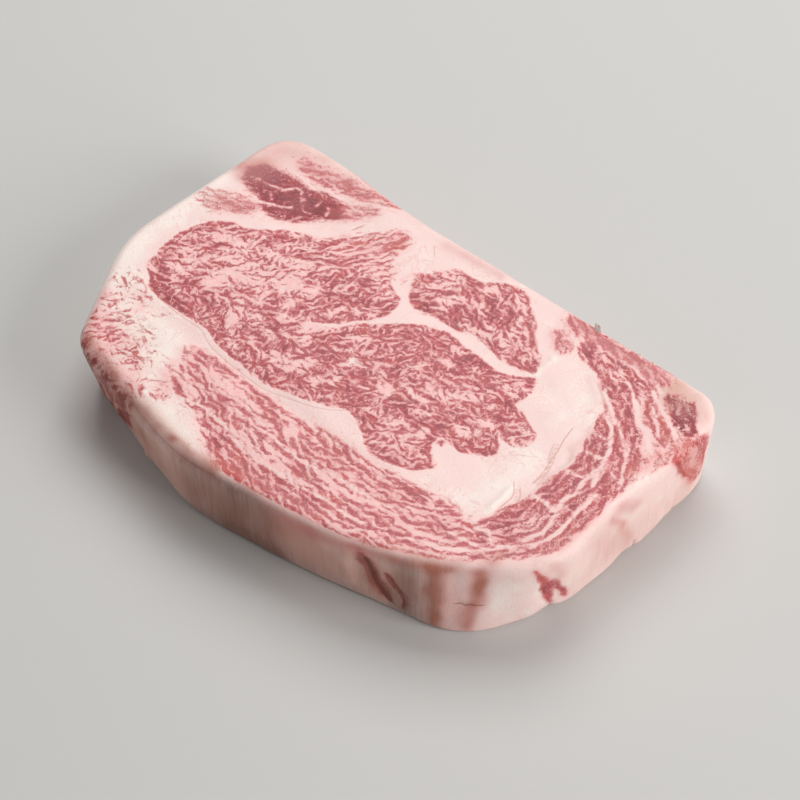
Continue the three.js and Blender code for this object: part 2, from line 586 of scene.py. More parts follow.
FIELDS = (
    "lean", "limit", "bold", "threads", "tone", "wash", "cream", "dull", "flush", "stain", "shade", "hair",
    "hair_dark", "height",
)
GRAIN_FIELDS = ("grain_cosine", "grain_sine", "grain_draw")
PLAIN_TRAITS = {"tone": 0.5, "bold": 1.0, "threads": 0.0, "wander": 0.0, "draw": 0.0}
LUMPS = {
    Draw.WARP_X: Lumps(1.6, 1.0, 4.0),
    Draw.WARP_Y: Lumps(1.6, 1.0, 4.0),
    Draw.TONE: Lumps(1.5, 1.4, 3.0),
    Draw.FAT: Lumps(2.2, 1.5, 4.0),
    Draw.RELIEF: Lumps(2.4, 1.3, 3.0),
    Draw.WANDER: Lumps(1.2, 1.0, 3.0),
}
PAINTS = {
    "dull": Paint(Tone.DULL, Draw.FAT, 0.15, 1.2),
    "flush": Paint(Tone.FLUSH, Draw.TONE, 0.0, 1.2),
    "stain": Paint(Tone.STAIN, Draw.TONE, 0.16, 1.2),
    "shade": Paint(Tone.SHADE, Draw.TONE, 0.0, 1.0),
    "wash": Paint(Tone.WASH, Draw.TONE, 0.12, 0.9),
}
FAR = 4.0
WRAP = 5.0
WARP = 0.3
CLUSTER_WIDTH = 1.0
CLUSTER_SAY = 0.34
FLECK_SAY = 0.94
LEAST_FAT = 0.01
TRAIT_FADE = (-2.0, 1.0)
RIM_MIDDLE = 0.6
RIM_REACH = 0.8
TONE_MOTTLE = 0.06
TONE_RANGE = (-0.2, 1.4)
CREAM_MOTTLE = 0.07
CREAM_RANGE = (-1.0, 1.2)
RELIEF_DEPTH = 0.06
LEAN_SINK = 0.1
LEAN_EDGE = (-0.2, 0.8)
ISLAND_FAT = 1.6
ISLAND_FAT_EDGE = (-1.2, 0.9)
ISLAND_LEAN = 0.75
ISLAND_LEAN_EDGE = (-0.5, 1.0)
ISLAND_END = (0.5, 2.0)
HAIR_REACH = 3.0
HAIR_MARGIN = 5.0
HAIR_FADE = 1.4
CUT_SPREAD = 0.9
STROKE_MARGIN = 2.6
STROKE_LEAST = 1e-3


class Marbling:
    """Works out the fields of a cut surface on a raster, from its plan."""

    def __init__(self, plan: CutPlan, raster: Raster, seed: int, coarser: float = 1.0) -> None:
        """Lays the plan out.

        Args:
            plan: The muscles, seams and tints.
            raster: Where they are worked out.
            seed: Of the random draws.
            coarser: How many times larger the flecks are than the plan says.
        """
        self.plan = plan
        self.raster = raster
        self.coarser = coarser
        self.fibre = Fibre(raster, plan.grain, seed)
        self.x, self.y = raster.grid()
        self.wx = self.x + self._noise(Draw.WARP_X) * WARP
        self.wy = self.y + self._noise(Draw.WARP_Y) * WARP
        self.fields = self._work_out()

    def _noise(self, draw: Draw, lumps: Lumps | None = None) -> Array:
        """A noise of this surface's fibres, with the draw's own lumps unless others are given."""
        lumps = lumps or LUMPS[draw]
        return self.fibre.field(lumps.across * self.coarser, lumps.streak, draw.value, lumps.wider)

    def _near(self, path: Array, margin: float) -> tuple[slice, slice]:
        """The part of the raster within a margin of a path."""
        low = (path.min(0) - margin - (self.raster.x0, self.raster.y0)) / self.raster.step
        high = (path.max(0) + margin - (self.raster.x0, self.raster.y0)) / self.raster.step
        i0, j0 = np.maximum(low.astype(int), 0)
        i1, j1 = np.maximum(high.astype(int) + 2, 1)
        return slice(j0, j1), slice(i0, i1)

    def _inside(self, muscle: Muscle) -> Array:
        """The distance inside a muscle's border, less than nothing outside, no less than -FAR edges."""
        path = smooth_path(muscle.border, closed=True)
        far = FAR * max(muscle.edge, 1.0)
        part = self._near(path, far + 2)
        distance, inside, _ = path_distance(self.wx[part], self.wy[part], path)
        result = np.full(self.x.shape, -far)
        result[part] = np.clip(np.where(inside, distance, -distance), -far, None)
        return result

    def _clusters(self, streak: float, cache: dict[float, Array]) -> Array:
        """The noise that gathers the flecks, made once for each streak."""
        if streak not in cache:
            cache[streak] = self._noise(Draw.CLUSTER, Lumps(CLUSTER_WIDTH, streak))
        return cache[streak]

    def _work_out(self) -> dict[str, Array]:
        """The fields.

        lean is how far the lean outweighs the fat before the finish adds its flecks: the clusters plus the
        height that leaves the muscle's share of a bell curve above nought. limit is the distance in mm
        inside the nearest border, seam or island, which no fleck may pass.

        Returns:
            Each field on the raster, by name.
        """
        out = {name: np.zeros(self.x.shape) for name in FIELDS}
        tints = {tone: self._tint(tone) for tone in Tone}
        noise = {draw: self._noise(draw) for draw in (Draw.TONE, Draw.FAT, Draw.RELIEF, Draw.WANDER)}
        lean, limit, traits = self._muscles(tints[Tone.LEANER])
        for island in self.plan.islands:
            lean, limit = self._island(lean, limit, island)
        for seam in self.plan.seams:
            limit = self._seam(limit, seam)
        self._grooves(out)
        out["lean"] = np.clip(lean, -FAR, FAR)
        out["limit"] = np.clip(limit, -FAR, FAR)
        tone = traits["tone"] + tints[Tone.DEEP] + TONE_MOTTLE * noise[Draw.TONE]
        out["tone"] = np.clip(tone, *TONE_RANGE)
        out["cream"] = np.clip(tints[Tone.CREAM] + CREAM_MOTTLE * noise[Draw.FAT], *CREAM_RANGE)
        for name, paint in PAINTS.items():
            mottled = tints[paint.tone] * (1 + paint.mottle * noise[paint.noise])
            out[name] = np.clip(mottled, 0.0, paint.most)
        out["height"] += tints[Tone.HEIGHT] + RELIEF_DEPTH * noise[Draw.RELIEF]
        out["height"] -= LEAN_SINK * ease(np.minimum(lean, limit), *LEAN_EDGE)
        bend = 2 * traits["wander"] * noise[Draw.WANDER]
        out["grain_cosine"] = self.fibre.cosine * np.cos(bend) - self.fibre.sine * np.sin(bend)
        out["grain_sine"] = self.fibre.sine * np.cos(bend) + self.fibre.cosine * np.sin(bend)
        out["grain_draw"] = traits["draw"]
        out["bold"] = traits["bold"]
        out["threads"] = traits["threads"]
        return out

    def _muscles(self, leaner: Array) -> tuple[Array, Array, dict[str, Array]]:
        """Lays the muscles over each other: where they meet, the one whose border is farther off counts.

        Args:
            leaner: How much leaner the strokes make each place.

        Returns:
            The lean, the limit, and the traits that fade from muscle to muscle, by name.
        """
        lean = np.full(self.x.shape, -FAR)
        limit = np.full(self.x.shape, -FAR)
        traits = {name: np.full(self.x.shape, plain) for name, plain in PLAIN_TRAITS.items()}
        cache: dict[float, Array] = {}
        for muscle in self.plan.muscles:
            inside = self._inside(muscle)
            say = CLUSTER_SAY * muscle.gather
            spread = math.hypot(say, FLECK_SAY * muscle.bold)
            bar = spread * NormalDist().inv_cdf(max(1.0 - muscle.share, LEAST_FAT))
            here = self._clusters(muscle.streak, cache) * say - bar + leaner
            here = here + muscle.rim * bump(inside - RIM_MIDDLE, RIM_REACH)
            edge = inside / muscle.edge
            stronger = edge > limit
            lean = np.where(stronger, here, lean)
            limit = np.where(stronger, edge, limit)
            weight = ease(inside, *TRAIT_FADE)
            for name, aim in muscle.traits().items():
                traits[name] = traits[name] * (1 - weight) + aim * weight
        return lean, limit, traits

    def _island(self, lean: Array, limit: Array, island: Island) -> tuple[Array, Array]:
        """Cuts an island out or puts one in; its distance is its radius's excess times its size."""
        part = self._near(np.array([[island.x, island.y]]), max(island.a, island.b) + FAR)
        turn = math.radians(island.tilt)
        dx, dy = self.wx[part] - island.x, self.wy[part] - island.y
        along = dx * math.cos(turn) + dy * math.sin(turn)
        across = dy * math.cos(turn) - dx * math.sin(turn)
        distance = (np.hypot(along / island.a, across / island.b) - 1.0) * min(island.a, island.b)
        lean, limit = lean.copy(), limit.copy()
        if island.lean:
            limit[part] = np.maximum(limit[part], -distance)
            inner = ISLAND_LEAN - ISLAND_LEAN * ease(distance, *ISLAND_LEAN_EDGE)
            lean[part] = np.maximum(lean[part], inner - FAR * ease(distance, *ISLAND_END))
        else:
            lean[part] -= ISLAND_FAT * (1 - ease(distance, *ISLAND_FAT_EDGE))
        return lean, limit

    def _seam(self, limit: Array, seam: Seam) -> Array:
        """The limit with a band of fat through it: no more than the distance from the band's edge."""
        path = smooth_path(seam.path, closed=False)
        part = self._near(path, FAR + seam.width)
        distance, _, _ = path_distance(self.wx[part], self.wy[part], path)
        result = limit.copy()
        result[part] = np.minimum(limit[part], distance - seam.width / 2)
        return result

    def _grooves(self, out: dict[str, Array]) -> None:
        """Sets the fine lines: signed distance over the width, darkness, and the cut in the height."""
        nearest = np.full(self.x.shape, HAIR_REACH)
        hair = np.full(self.x.shape, HAIR_REACH)
        for groove in self.plan.grooves:
            path = smooth_path(groove.path, closed=False)
            part = self._near(path, HAIR_MARGIN)
            distance, _, side = path_distance(self.x[part], self.y[part], path)
            closer = distance < nearest[part]
            nearest[part] = np.where(closer, distance, nearest[part])
            signed = np.clip(distance * side / groove.width, -HAIR_REACH, HAIR_REACH)
            hair[part] = np.where(closer, signed, hair[part])
            dark = out["hair_dark"][part]
            say = groove.dark * ease(-distance, -HAIR_FADE - groove.width, -0.5 * groove.width)
            out["hair_dark"][part] = np.where(closer, np.maximum(say, 0), dark)
            out["height"][part] -= groove.depth * bump(distance, groove.width * CUT_SPREAD)
        out["hair"] = hair

    def _tint(self, tone: Tone) -> Array:
        """The sum of one tone's soft strokes, each a bell of the distance from its line."""
        total = np.zeros(self.x.shape)
        for x, y, x2, y2, reach, amount in self.plan.tints.get(tone, ()):
            path = np.array([[x, y], [x2 + STROKE_LEAST, y2]])
            part = self._near(path, reach * STROKE_MARGIN)
            distance, _, _ = path_distance(self.wx[part], self.wy[part], path)
            total[part] += amount * bump(distance, reach)
        return total

    def at(self, name: str, x: Array, y: Array) -> Array:
        """One field at the given places."""
        return self.raster.sample(self.fields[name], x, y)


# --- The cut face

EYE = (
    (-87.5, -2), (-86.5, 5), (-83.5, 12), (-77, 17), (-70, 19.5), (-64, 24.5), (-57, 29.5), (-49, 31),
    (-40, 30), (-28, 31), (-19, 32), (-12, 30), (-8, 24), (-9, 19), (-14, 10), (-20, 4), (-14, 9),
    (-10, 13), (-5, 18), (-1, 21.5), (4, 25.2), (12, 27.8), (22, 27.4), (30, 26.6), (38, 27.6),
    (45.5, 32), (49, 27), (47.5, 20), (54, 17.8), (61.5, 13.5), (60.5, 8), (56, 5.8), (51, 8), (56, 1),
    (52, -4), (48, -6.2), (40.5, -7), (39.5, -11.5), (46, -16.5), (43, -20.5), (37, -24.5), (28, -25.7),
    (21, -22.5), (14, -18.5), (9, -18.5), (3, -22), (-7, -25.5), (-18, -27.2), (-32, -27.2), (-41, -26),
    (-50, -24), (-64, -24.3), (-75, -23), (-81.5, -19), (-85.5, -13),
)
PLUME = (
    (-60, 24), (-52, 30), (-44, 37), (-37, 46), (-31, 52.5), (-26, 52), (-25, 45), (-23, 39), (-18, 33),
    (-20, 26), (-30, 20), (-45, 20),
)
COMPLEXUS = (
    (-10, 33.2), (-7.5, 30.8), (-4, 29.4), (0, 30.2), (4, 31), (9, 31), (13.6, 31.2), (17, 33),
    (22, 33.2), (27, 32.4), (31, 31.2), (36, 31.2), (40, 32.6), (44.4, 33.6), (43, 37.6), (40, 41.2),
    (35.2, 45.6), (30.8, 50.2), (26.4, 55.4), (23.4, 55.6), (21.5, 58.6), (16, 59.4), (11.6, 57.6),
    (8, 54.4), (2, 52.6), (-5, 52), (-4.4, 50.4), (1, 49.4), (0.4, 46.6), (-0.6, 43.4), (-3, 41.2),
    (-6.4, 39.4), (-8.8, 36),
)
COMPLEXUS_SCATTER = ((-15, 37), (-10, 36), (-6, 38), (-2, 42), (0, 48), (-4, 50), (-9, 46.5), (-13, 41))
RIB_MUSCLE = (
    (-92.5, 38), (-92.5, 42.5), (-89, 46.6), (-83, 48), (-76, 48.6), (-70, 48.8), (-65, 49.8),
    (-59, 50.8), (-52, 51.4), (-48, 53.8), (-43.6, 55.4), (-44, 53), (-47, 48.8), (-50.4, 45),
    (-54, 41.6), (-57.6, 38.6), (-60, 35.6), (-64, 31.6), (-69, 28.6), (-75, 29), (-80, 32), (-86, 32.8),
    (-89, 35),
)
RIB_STRIP = (
    (-82, 57.5), (-79, 52.5), (-70, 51.8), (-60, 54), (-50, 56.5), (-40, 60.5), (-46, 61.5), (-58, 60.3),
    (-70, 59),
)
RIB_PATCH = (
    (-96, 22), (-92, 26), (-85, 29), (-78.5, 29.5), (-75.5, 26), (-80, 21.5), (-87, 17), (-94, 17.5),
)
CAP_END = (
    (-86, -22), (-78, -24.5), (-66, -27.5), (-57, -33), (-49, -38), (-42, -42), (-40, -48), (-36, -52),
    (-42, -56.5), (-56, -58), (-70, -55), (-80, -50.5), (-88, -38),
)
CAP = (
    (-47, -32.5), (-36, -30.6), (-20, -31), (0, -31), (14, -29), (30, -28.3), (44, -27), (52, -25),
    (61, -24), (65.5, -27), (69.5, -25), (75, -28), (84, -29), (76, -37), (66, -43.5), (54, -50.5),
    (44, -55.5), (30, -60), (10, -63), (-4, -62), (-12, -58.5), (-22, -53), (-33, -50.3), (-40, -47.5),
    (-42, -41), (-45.5, -36.5),
)
TAIL = (
    (70, -25), (72, -17), (74.5, -8), (75, 0), (76, 8), (77, 15), (75, 22), (72.5, 30), (69.5, 38),
    (64, 43.5), (60, 46.5), (50, 50), (47, 55), (50, 57), (58, 57), (66, 56), (76, 55), (83, 51),
    (88, 48.5), (91, 45), (93.6, 40.4), (92.6, 34), (92.6, 29), (94, 23), (94.6, 18), (95.5, 8),
    (95.5, -6), (94, -16), (89, -24), (84, -29), (76, -32),
)
BACK_STRIP = (
    (37, 61), (40, 57), (47, 56.5), (56, 57), (66, 57.5), (76, 56), (80, 59), (76, 62.5), (60, 63.5),
    (45, 63),
)
TAIL_PATCH = (
    (81.5, 54), (84, 57.5), (88.5, 59), (92, 56.5), (95.5, 52), (98.5, 48.5), (96.5, 45.3), (92.5, 44.8),
    (88.5, 48.5), (84.5, 51.5),
)
TAIL_FIBRES = (
    (102, 46), (97, 45), (92.5, 40.5), (90.5, 34), (90.5, 26), (92.5, 19), (95.5, 24), (98, 31),
    (101, 36), (103, 40),
)
BACK_ISLAND = ((37.5, 51.5), (39.5, 54.2), (43.5, 52.5), (47, 49), (45.5, 46.5), (41.5, 48))

# Each: border, share, tone, streak, bold, edge, gather, threads, rim, wander.
FACE_MUSCLES = (
    Muscle(CAP_END, 0.25, 0.36, 1.6, 0.8, 3.0, 1.0, 0.3, 0.0, 0.7),
    Muscle(CAP, 0.61, 0.42, 2.6, 0.72, 2.6, 0.7, 0.3, 0.0, 0.22),
    Muscle(TAIL, 0.84, 0.62, 2.4, 0.8, 1.4, 0.9, 0.7, 0.0, 0.3),
    Muscle(RIB_PATCH, 0.48, 0.3, 3.0, 0.4, 3.0, 0.8, 0.8, 0.0, 0.15),
    Muscle(RIB_STRIP, 0.72, 0.5, 2.6, 0.5, 3.4, 1.0, 0.3),
    Muscle(RIB_MUSCLE, 0.94, 1.05, 2.0, 0.5, 3.0, 1.2, 0.5, 0.0, 0.6),
    Muscle(PLUME, 0.5, 0.45, 2.8, 0.8, 3.0, 0.8, 0.3, 0.0, 0.2),
    Muscle(EYE, 0.63, 0.55, 2.0, 0.95, 0.8, 1.25, 0.5, 0.4, 0.7),
    Muscle(COMPLEXUS_SCATTER, 0.42, 0.5, 2.0, 0.8, 2.2, 1.0, 0.5, 0.0, 0.8),
    Muscle(COMPLEXUS, 0.64, 0.55, 2.0, 0.85, 1.0, 1.4, 0.5, 0.2, 0.45),
    Muscle(BACK_STRIP, 0.84, 0.45, 2.0, 0.6, 3.4, 1.0, 0.3),
    Muscle(TAIL_PATCH, 0.6, 0.9, 1.4, 0.8, 1.6, 1.7, 0.8, 0.0, 0.5),
    Muscle(TAIL_FIBRES, 0.42, 0.3, 4.0, 0.3, 2.4, 1.0, 0.5, 0.0, 0.1),
    Muscle(BACK_ISLAND, 0.66, 0.45, 2.0, 0.6, 1.8, 1.0, 0.4, 0.0, 0.5),
)
# Each row: x, y, degrees.
FACE_GRAIN = grains(
    (-82, 48, 28), (-66, 54, 9), (-50, 54, 28), (-78, 36, 34), (-66, 40, 44), (-54, 46, 42),
    (-86, 24, 20), (-42, 46, 58), (-30, 46, 68), (-32, 34, 60), (-54, 30, 36), (-18, 24, 58),
    (-80, 10, 50), (-66, 10, 40), (-54, 14, 46), (-40, 10, 46), (-66, -8, 40), (-78, -18, -8),
    (-62, -20, -8), (-44, -20, -22), (-30, -18, -8), (-30, 4, 80), (-14, 4, 55), (-8, -16, 22),
    (4, 10, 66), (8, -14, 20), (14, 22, 10), (30, 20, 20), (44, 14, 8), (42, 0, 4), (30, -4, 0),
    (30, -18, 26), (42, -16, 30), (-4, 36, 30), (2, 51, 14), (14, 42, -34), (28, 42, -40), (34, 34, -4),
    (20, 56, -30), (42, 50, -44), (56, 52, -32), (66, 48, -20), (76, 42, -40), (86, 46, -36),
    (88, 34, -40), (76, 30, -56), (82, 22, -76), (92, 22, -66), (80, 8, 82), (92, 6, -80), (80, -8, 86),
    (90, -12, 84), (78, -20, 56), (86, -24, 56), (74, -34, 46), (60, -32, 20), (64, -42, 28),
    (48, -36, 14), (46, -50, 8), (30, -34, 2), (28, -52, -2), (12, -38, -14), (4, -54, -12),
    (-10, -36, -6), (-20, -44, -12), (-38, -40, -12), (-62, -34, 24), (-62, -46, 44), (-76, -40, 50),
    (-52, -44, -20), (58, 60, -4), (20, 62, 2), (-30, 60, 0),
)
# Each row: x, y, half sizes, tilt in degrees.
FACE_ISLANDS = (
    *islands(
        (-57, 0, 8, 1.6), (-62, -6, 3, 5), (-75, -11, 4, 2), (-77, -4, 3.5, 2.2), (-45, -15, 4, 1.6, -40),
        (-73, 10, 8, 2.0, 20), (-55, 15, 5, 1.8), (-42, 8, 6, 2.8, 25), (-35, 12, 3.5, 1.4, 40),
        (-44, 19, 3, 1.5, 60), (-33, -4, 2.2, 2), (-24, -2, 3.2, 2.4, 40), (-20, 1, 3.4, 2.0, 40),
        (-20, -6, 1.8, 3.4, 20), (-13, -12, 4, 1.9, 35), (-16, -18, 1.1, 4.5, -14),
        (-23, -17, 3, 1.5, 12), (-8, 6, 2.8, 2.4), (-6, 2, 1.4, 2.2), (-1.5, -1.5, 1.8, 1.5),
        (14, -4.5, 3, 3.4), (24, 1, 4.4, 1.7), (21, 18, 3, 2), (34, 10, 5, 2.3, 30),
        (25, -12, 3, 1.5, 30), (35, -9, 3.2, 2.8), (43, -1, 3, 1.4), (-1, -12, 1.3, 3), (-6, -17, 2, 1.8),
        (-58, 7, 2.4, 1.2), (-66, 3, 4, 1.3, 30), (48, 7, 8, 1.3, 12), (60, 9, 3, 1.1, 40),
        (-48, 26, 3, 1.5, 40), (-12, 18, 1.5, 3, 20), (-58, 27, 2.6, 1.6, 20), (24, 54.6, 1.4, 1.6),
        (19, 51.6, 2.6, 1.0, -10), (26, 50, 1.4, 1.6, -30), (4.6, 41.2, 3, 0.9, -20),
        (4, 36.6, 1.0, 3.6, 30), (22, 36, 2.6, 1.3), (24.6, 40, 3.2, 1.1, -42), (12, 44.2, 1.0, 2.0),
        (15.5, 34.8, 4, 0.9), (11.4, 53.4, 1.6, 1.4), (29.4, 37, 3, 0.8, -55), (27, 46.6, 3, 0.8, -40),
        (38, 36, 1.4, 1.2),
    ),
    *islands(
        (8.6, 39.4, 3.2, 2.0), (8.4, 32.8, 4.2, 1.2, -14), (28, 34.4, 3, 1.0, -8),
        (-5, 32.4, 3.4, 2.0, -10),
        lean=True,
    ),
    *islands(
        (-25, -37, 12, 2.4, -4), (-4, -33.5, 3.5, 1.6), (3, -36, 3, 2.6, -30), (8, -50, 12, 1.5, 4),
        (-6, -49, 7, 1.2, -8), (38, -41, 9, 1.2, 8), (5, -46.5, 6, 1.3, -6), (28, -43.5, 8, 1.3, -4),
        (-33, -46, 5, 1.2, -10), (60, -38, 6, 1.0, 20), (69, 48, 2.4, 1.2, -30), (79, 45, 4.5, 1.4, -45),
        (86, 41.5, 4, 1.6, -42), (87.4, 36.2, 6, 2.4, -40), (56, 55, 4.5, 1.4, -20),
        (73, 53, 3, 0.9, -30), (79, -5, 3.6, 0.9), (82.5, -12, 0.9, 3.4), (78.5, 9, 1.1, 1.6),
        (79, 19, 3.6, 0.8, 10), (66, 52, 2.2, 1.0, 20), (76, 48.5, 1.2, 2.2, 30),
    ),
    *islands(
        (-1.5, 31.2, 1.0, 0.8), (-56.5, -14, 0.9, 0.7), (41.5, -8.5, 1.2, 0.8, 60),
        (38, -7.5, 2.6, 1.3, 65), (-28, 47.5, 1.0, 3.4, -10), (82, 35.5, 7, 1.5, -40),
        (90, 25.5, 3.5, 1.2, -50), (83.6, 43.6, 4.4, 1.5, -48), (90, 41.4, 3.6, 1.4, -52),
        (74.5, 41.5, 3.4, 1.1, -38), (66, 47.6, 4.6, 2.2, -8), (54, 52, 5.2, 1.7, -28),
        (79.5, 15, 2.8, 3.4), (79.5, 4.5, 2.8, 3.0, 10), (78, -1.5, 2.6, 2.2), (87, 11, 0.9, 4.6, -6),
        (92, 12, 1.9, 5.0, 12), (87, 0, 1.4, 4.4, 4), (92, -3, 1.0, 5.0, 2), (80, 23, 3.4, 2.6),
        (88, 23.5, 4.2, 1.8, -48), (76, -14, 2.4, 5.4, -20), (92, -13, 0.9, 4), (75.5, -20, 2.0, 4, -30),
        lean=True,
    ),
)
FACE_SEAMS = (
    Seam(((-12, 12), (-15, 8), (-20, 3), (-25, 0)), 1.9),
    Seam(((-4, 27), (-11, 33), (-14, 38)), 2.3),
    Seam(((66, 43), (72, 37.4), (77.4, 31), (82, 24.6), (84.6, 18), (87, 10)), 1.8),
    Seam(((84.6, 18), (84.4, 10), (84.8, 4), (84.4, -4), (86.6, -12), (84, -20)), 1.5),
    Seam(((76, 36), (82, 31.5), (87, 28), (90, 22), (93, 15)), 1.2),
    Seam(((89.5, 8), (89.8, -2), (90, -12), (87, -21)), 1.7),
    Seam(((76, 46.4), (80.6, 41), (86, 38), (92, 33)), 2.4),
    Seam(((70, 51), (76, 46), (82, 40)), 1.2),
    Seam(((73, 18.6), (78, 19.2), (83.5, 19.6)), 1.1),
    Seam(((76, 9.2), (80, 9.8), (84, 11)), 1.0),
    Seam(((72.5, -4.4), (78, -4.6), (84, -5.4)), 1.5),
    Seam(((71, 29), (75.5, 27), (80, 28.4)), 1.0),
    Seam(((67, 40.6), (72, 38.8), (76.4, 34.4)), 0.9),
    Seam(((85, -1), (88.6, -1.8)), 0.9),
    Seam(((85.6, 20), (90, 17), (95, 16.4)), 0.9),
    Seam(((60, 50.6), (64, 49.8), (70, 50.6)), 1.0),
    Seam(((78, 53), (85, 49.4), (90, 46), (95, 43.6)), 2.0),
    Seam(((82.6, 47.6), (86.6, 43.4), (90.4, 38.6)), 1.5),
    Seam(((70, -26), (74, -24), (78, -27), (83, -24), (88, -18)), 1.3),
    Seam(((66, -33), (73, -31), (79, -29), (85, -22)), 1.1),
    Seam(((58, -42), (68, -38), (76, -32), (82, -26)), 1.3),
    Seam(((-20, -41), (-5, -42), (10, -43), (30, -40), (50, -38)), 1.2),
    Seam(((-35, -50), (-20, -48.5), (0, -52), (20, -50), (44, -48)), 1.3),
    Seam(((-86, 50), (-74, 50.2), (-60, 52), (-48, 56), (-40, 59)), 1.7),
    Seam(
        (
            (-84, 39.6), (-79.2, 41.1), (-76.8, 41.8), (-74.7, 44.2), (-72.9, 45.6), (-70.8, 45),
            (-70.1, 43.5),
        ),
        0.9,
    ),
    Seam(((-69.4, 43.2), (-68, 41.4), (-67.3, 42.5)), 0.5),
    Seam(((-62.8, 45.8), (-62.4, 43.4)), 0.6),
    Seam(((-86, 30.6), (-78, 31.4), (-75, 33.7), (-70.8, 35.1), (-68.4, 37.4)), 1.2),
    Seam(((-59, 45.4), (-57, 44), (-56.6, 41.6)), 0.8),
    Seam(((-57, 31), (-50, 37), (-44, 43), (-39, 50)), 1.9),
    Seam(((-79, 37.6), (-76.4, 35)), 0.3),
    Seam(((-66, 40.4), (-63.4, 38.4), (-61, 39.4)), 0.3),
)
# Each: path, width, depth, darkness.
FACE_GROOVES = (
    Groove(
        (
            (-76, -23.2), (-70, -24.5), (-60, -25.2), (-50, -25), (-47, -26), (-43, -27.7), (-38, -28.7),
            (-30, -29.2), (-20, -29.5), (-15, -29.1), (-8, -27.2), (0, -25), (5, -22.5), (8, -20.2),
            (10, -18.5),
        ),
        0.27, 0.12, 0.38,
    ),
    Groove(((68, 24), (68.9, 18.6), (70.2, 14.2), (71.2, 9), (72.2, 4), (72.4, -1)), 0.34, 0.03, 0.5),
    Groove(((67.8, 15), (68.6, 12.4), (70.6, 8.4)), 0.3, 0.03, 0.4),
    Groove(((71.6, 11), (73, 6), (73.8, 0)), 0.26, 0.03, 0.35),
    # These two lines along the pale strip at x 69.4 are brown lines with the painted shadow of the cleft
    # beside the strip.
    Groove(((68.2, -5), (70.2, -7.4), (71.2, -10), (71, -15)), 0.34, 0.04, 0.5),
    Groove(((71, -5.4), (73, -8), (73.6, -12), (72.4, -17)), 0.4, 0.04, 0.35),
    Groove(((63.6, 43.4), (67.4, 40.6), (71.6, 37)), 0.8, 0.08, 0.3),
    Groove(((-5, 51.4), (0, 52.6), (6, 53.2), (10, 54.4)), 0.3, 0.05, 0.3),
    Groove(((-2, 48.6), (4, 48.8), (9, 48)), 0.25, 0.04, 0.25),
    Groove(((41.8, 54.2), (44.5, 53.2), (46.8, 51), (47.4, 49)), 0.35, 0.08, 0.35),
    Groove(((-43.2, 46.8), (-44, 45), (-44.4, 43.2)), 0.4, 0.3, 0.75),
    Groove(((-17.4, 55), (-16, 53.6), (-14.8, 52.2)), 0.25, 0.05, 0.4),
    Groove(((60, -22.6), (63, -24), (64.6, -25.2)), 0.3, 0.06, 0.3),
    Groove(((59, 1.4), (62, 4.6), (66.4, 7.2)), 0.4, 0.03, 0.16),
    Groove(((1, 40.2), (3, 38.2), (4, 36)), 0.3, 0.05, 0.45),
    Groove(((24.5, 48), (27, 44.4), (31, 40.5)), 0.3, 0.05, 0.3),
    Groove(((27.4, 53.6), (31.4, 48), (37, 42.4)), 0.3, 0.05, 0.25),
)
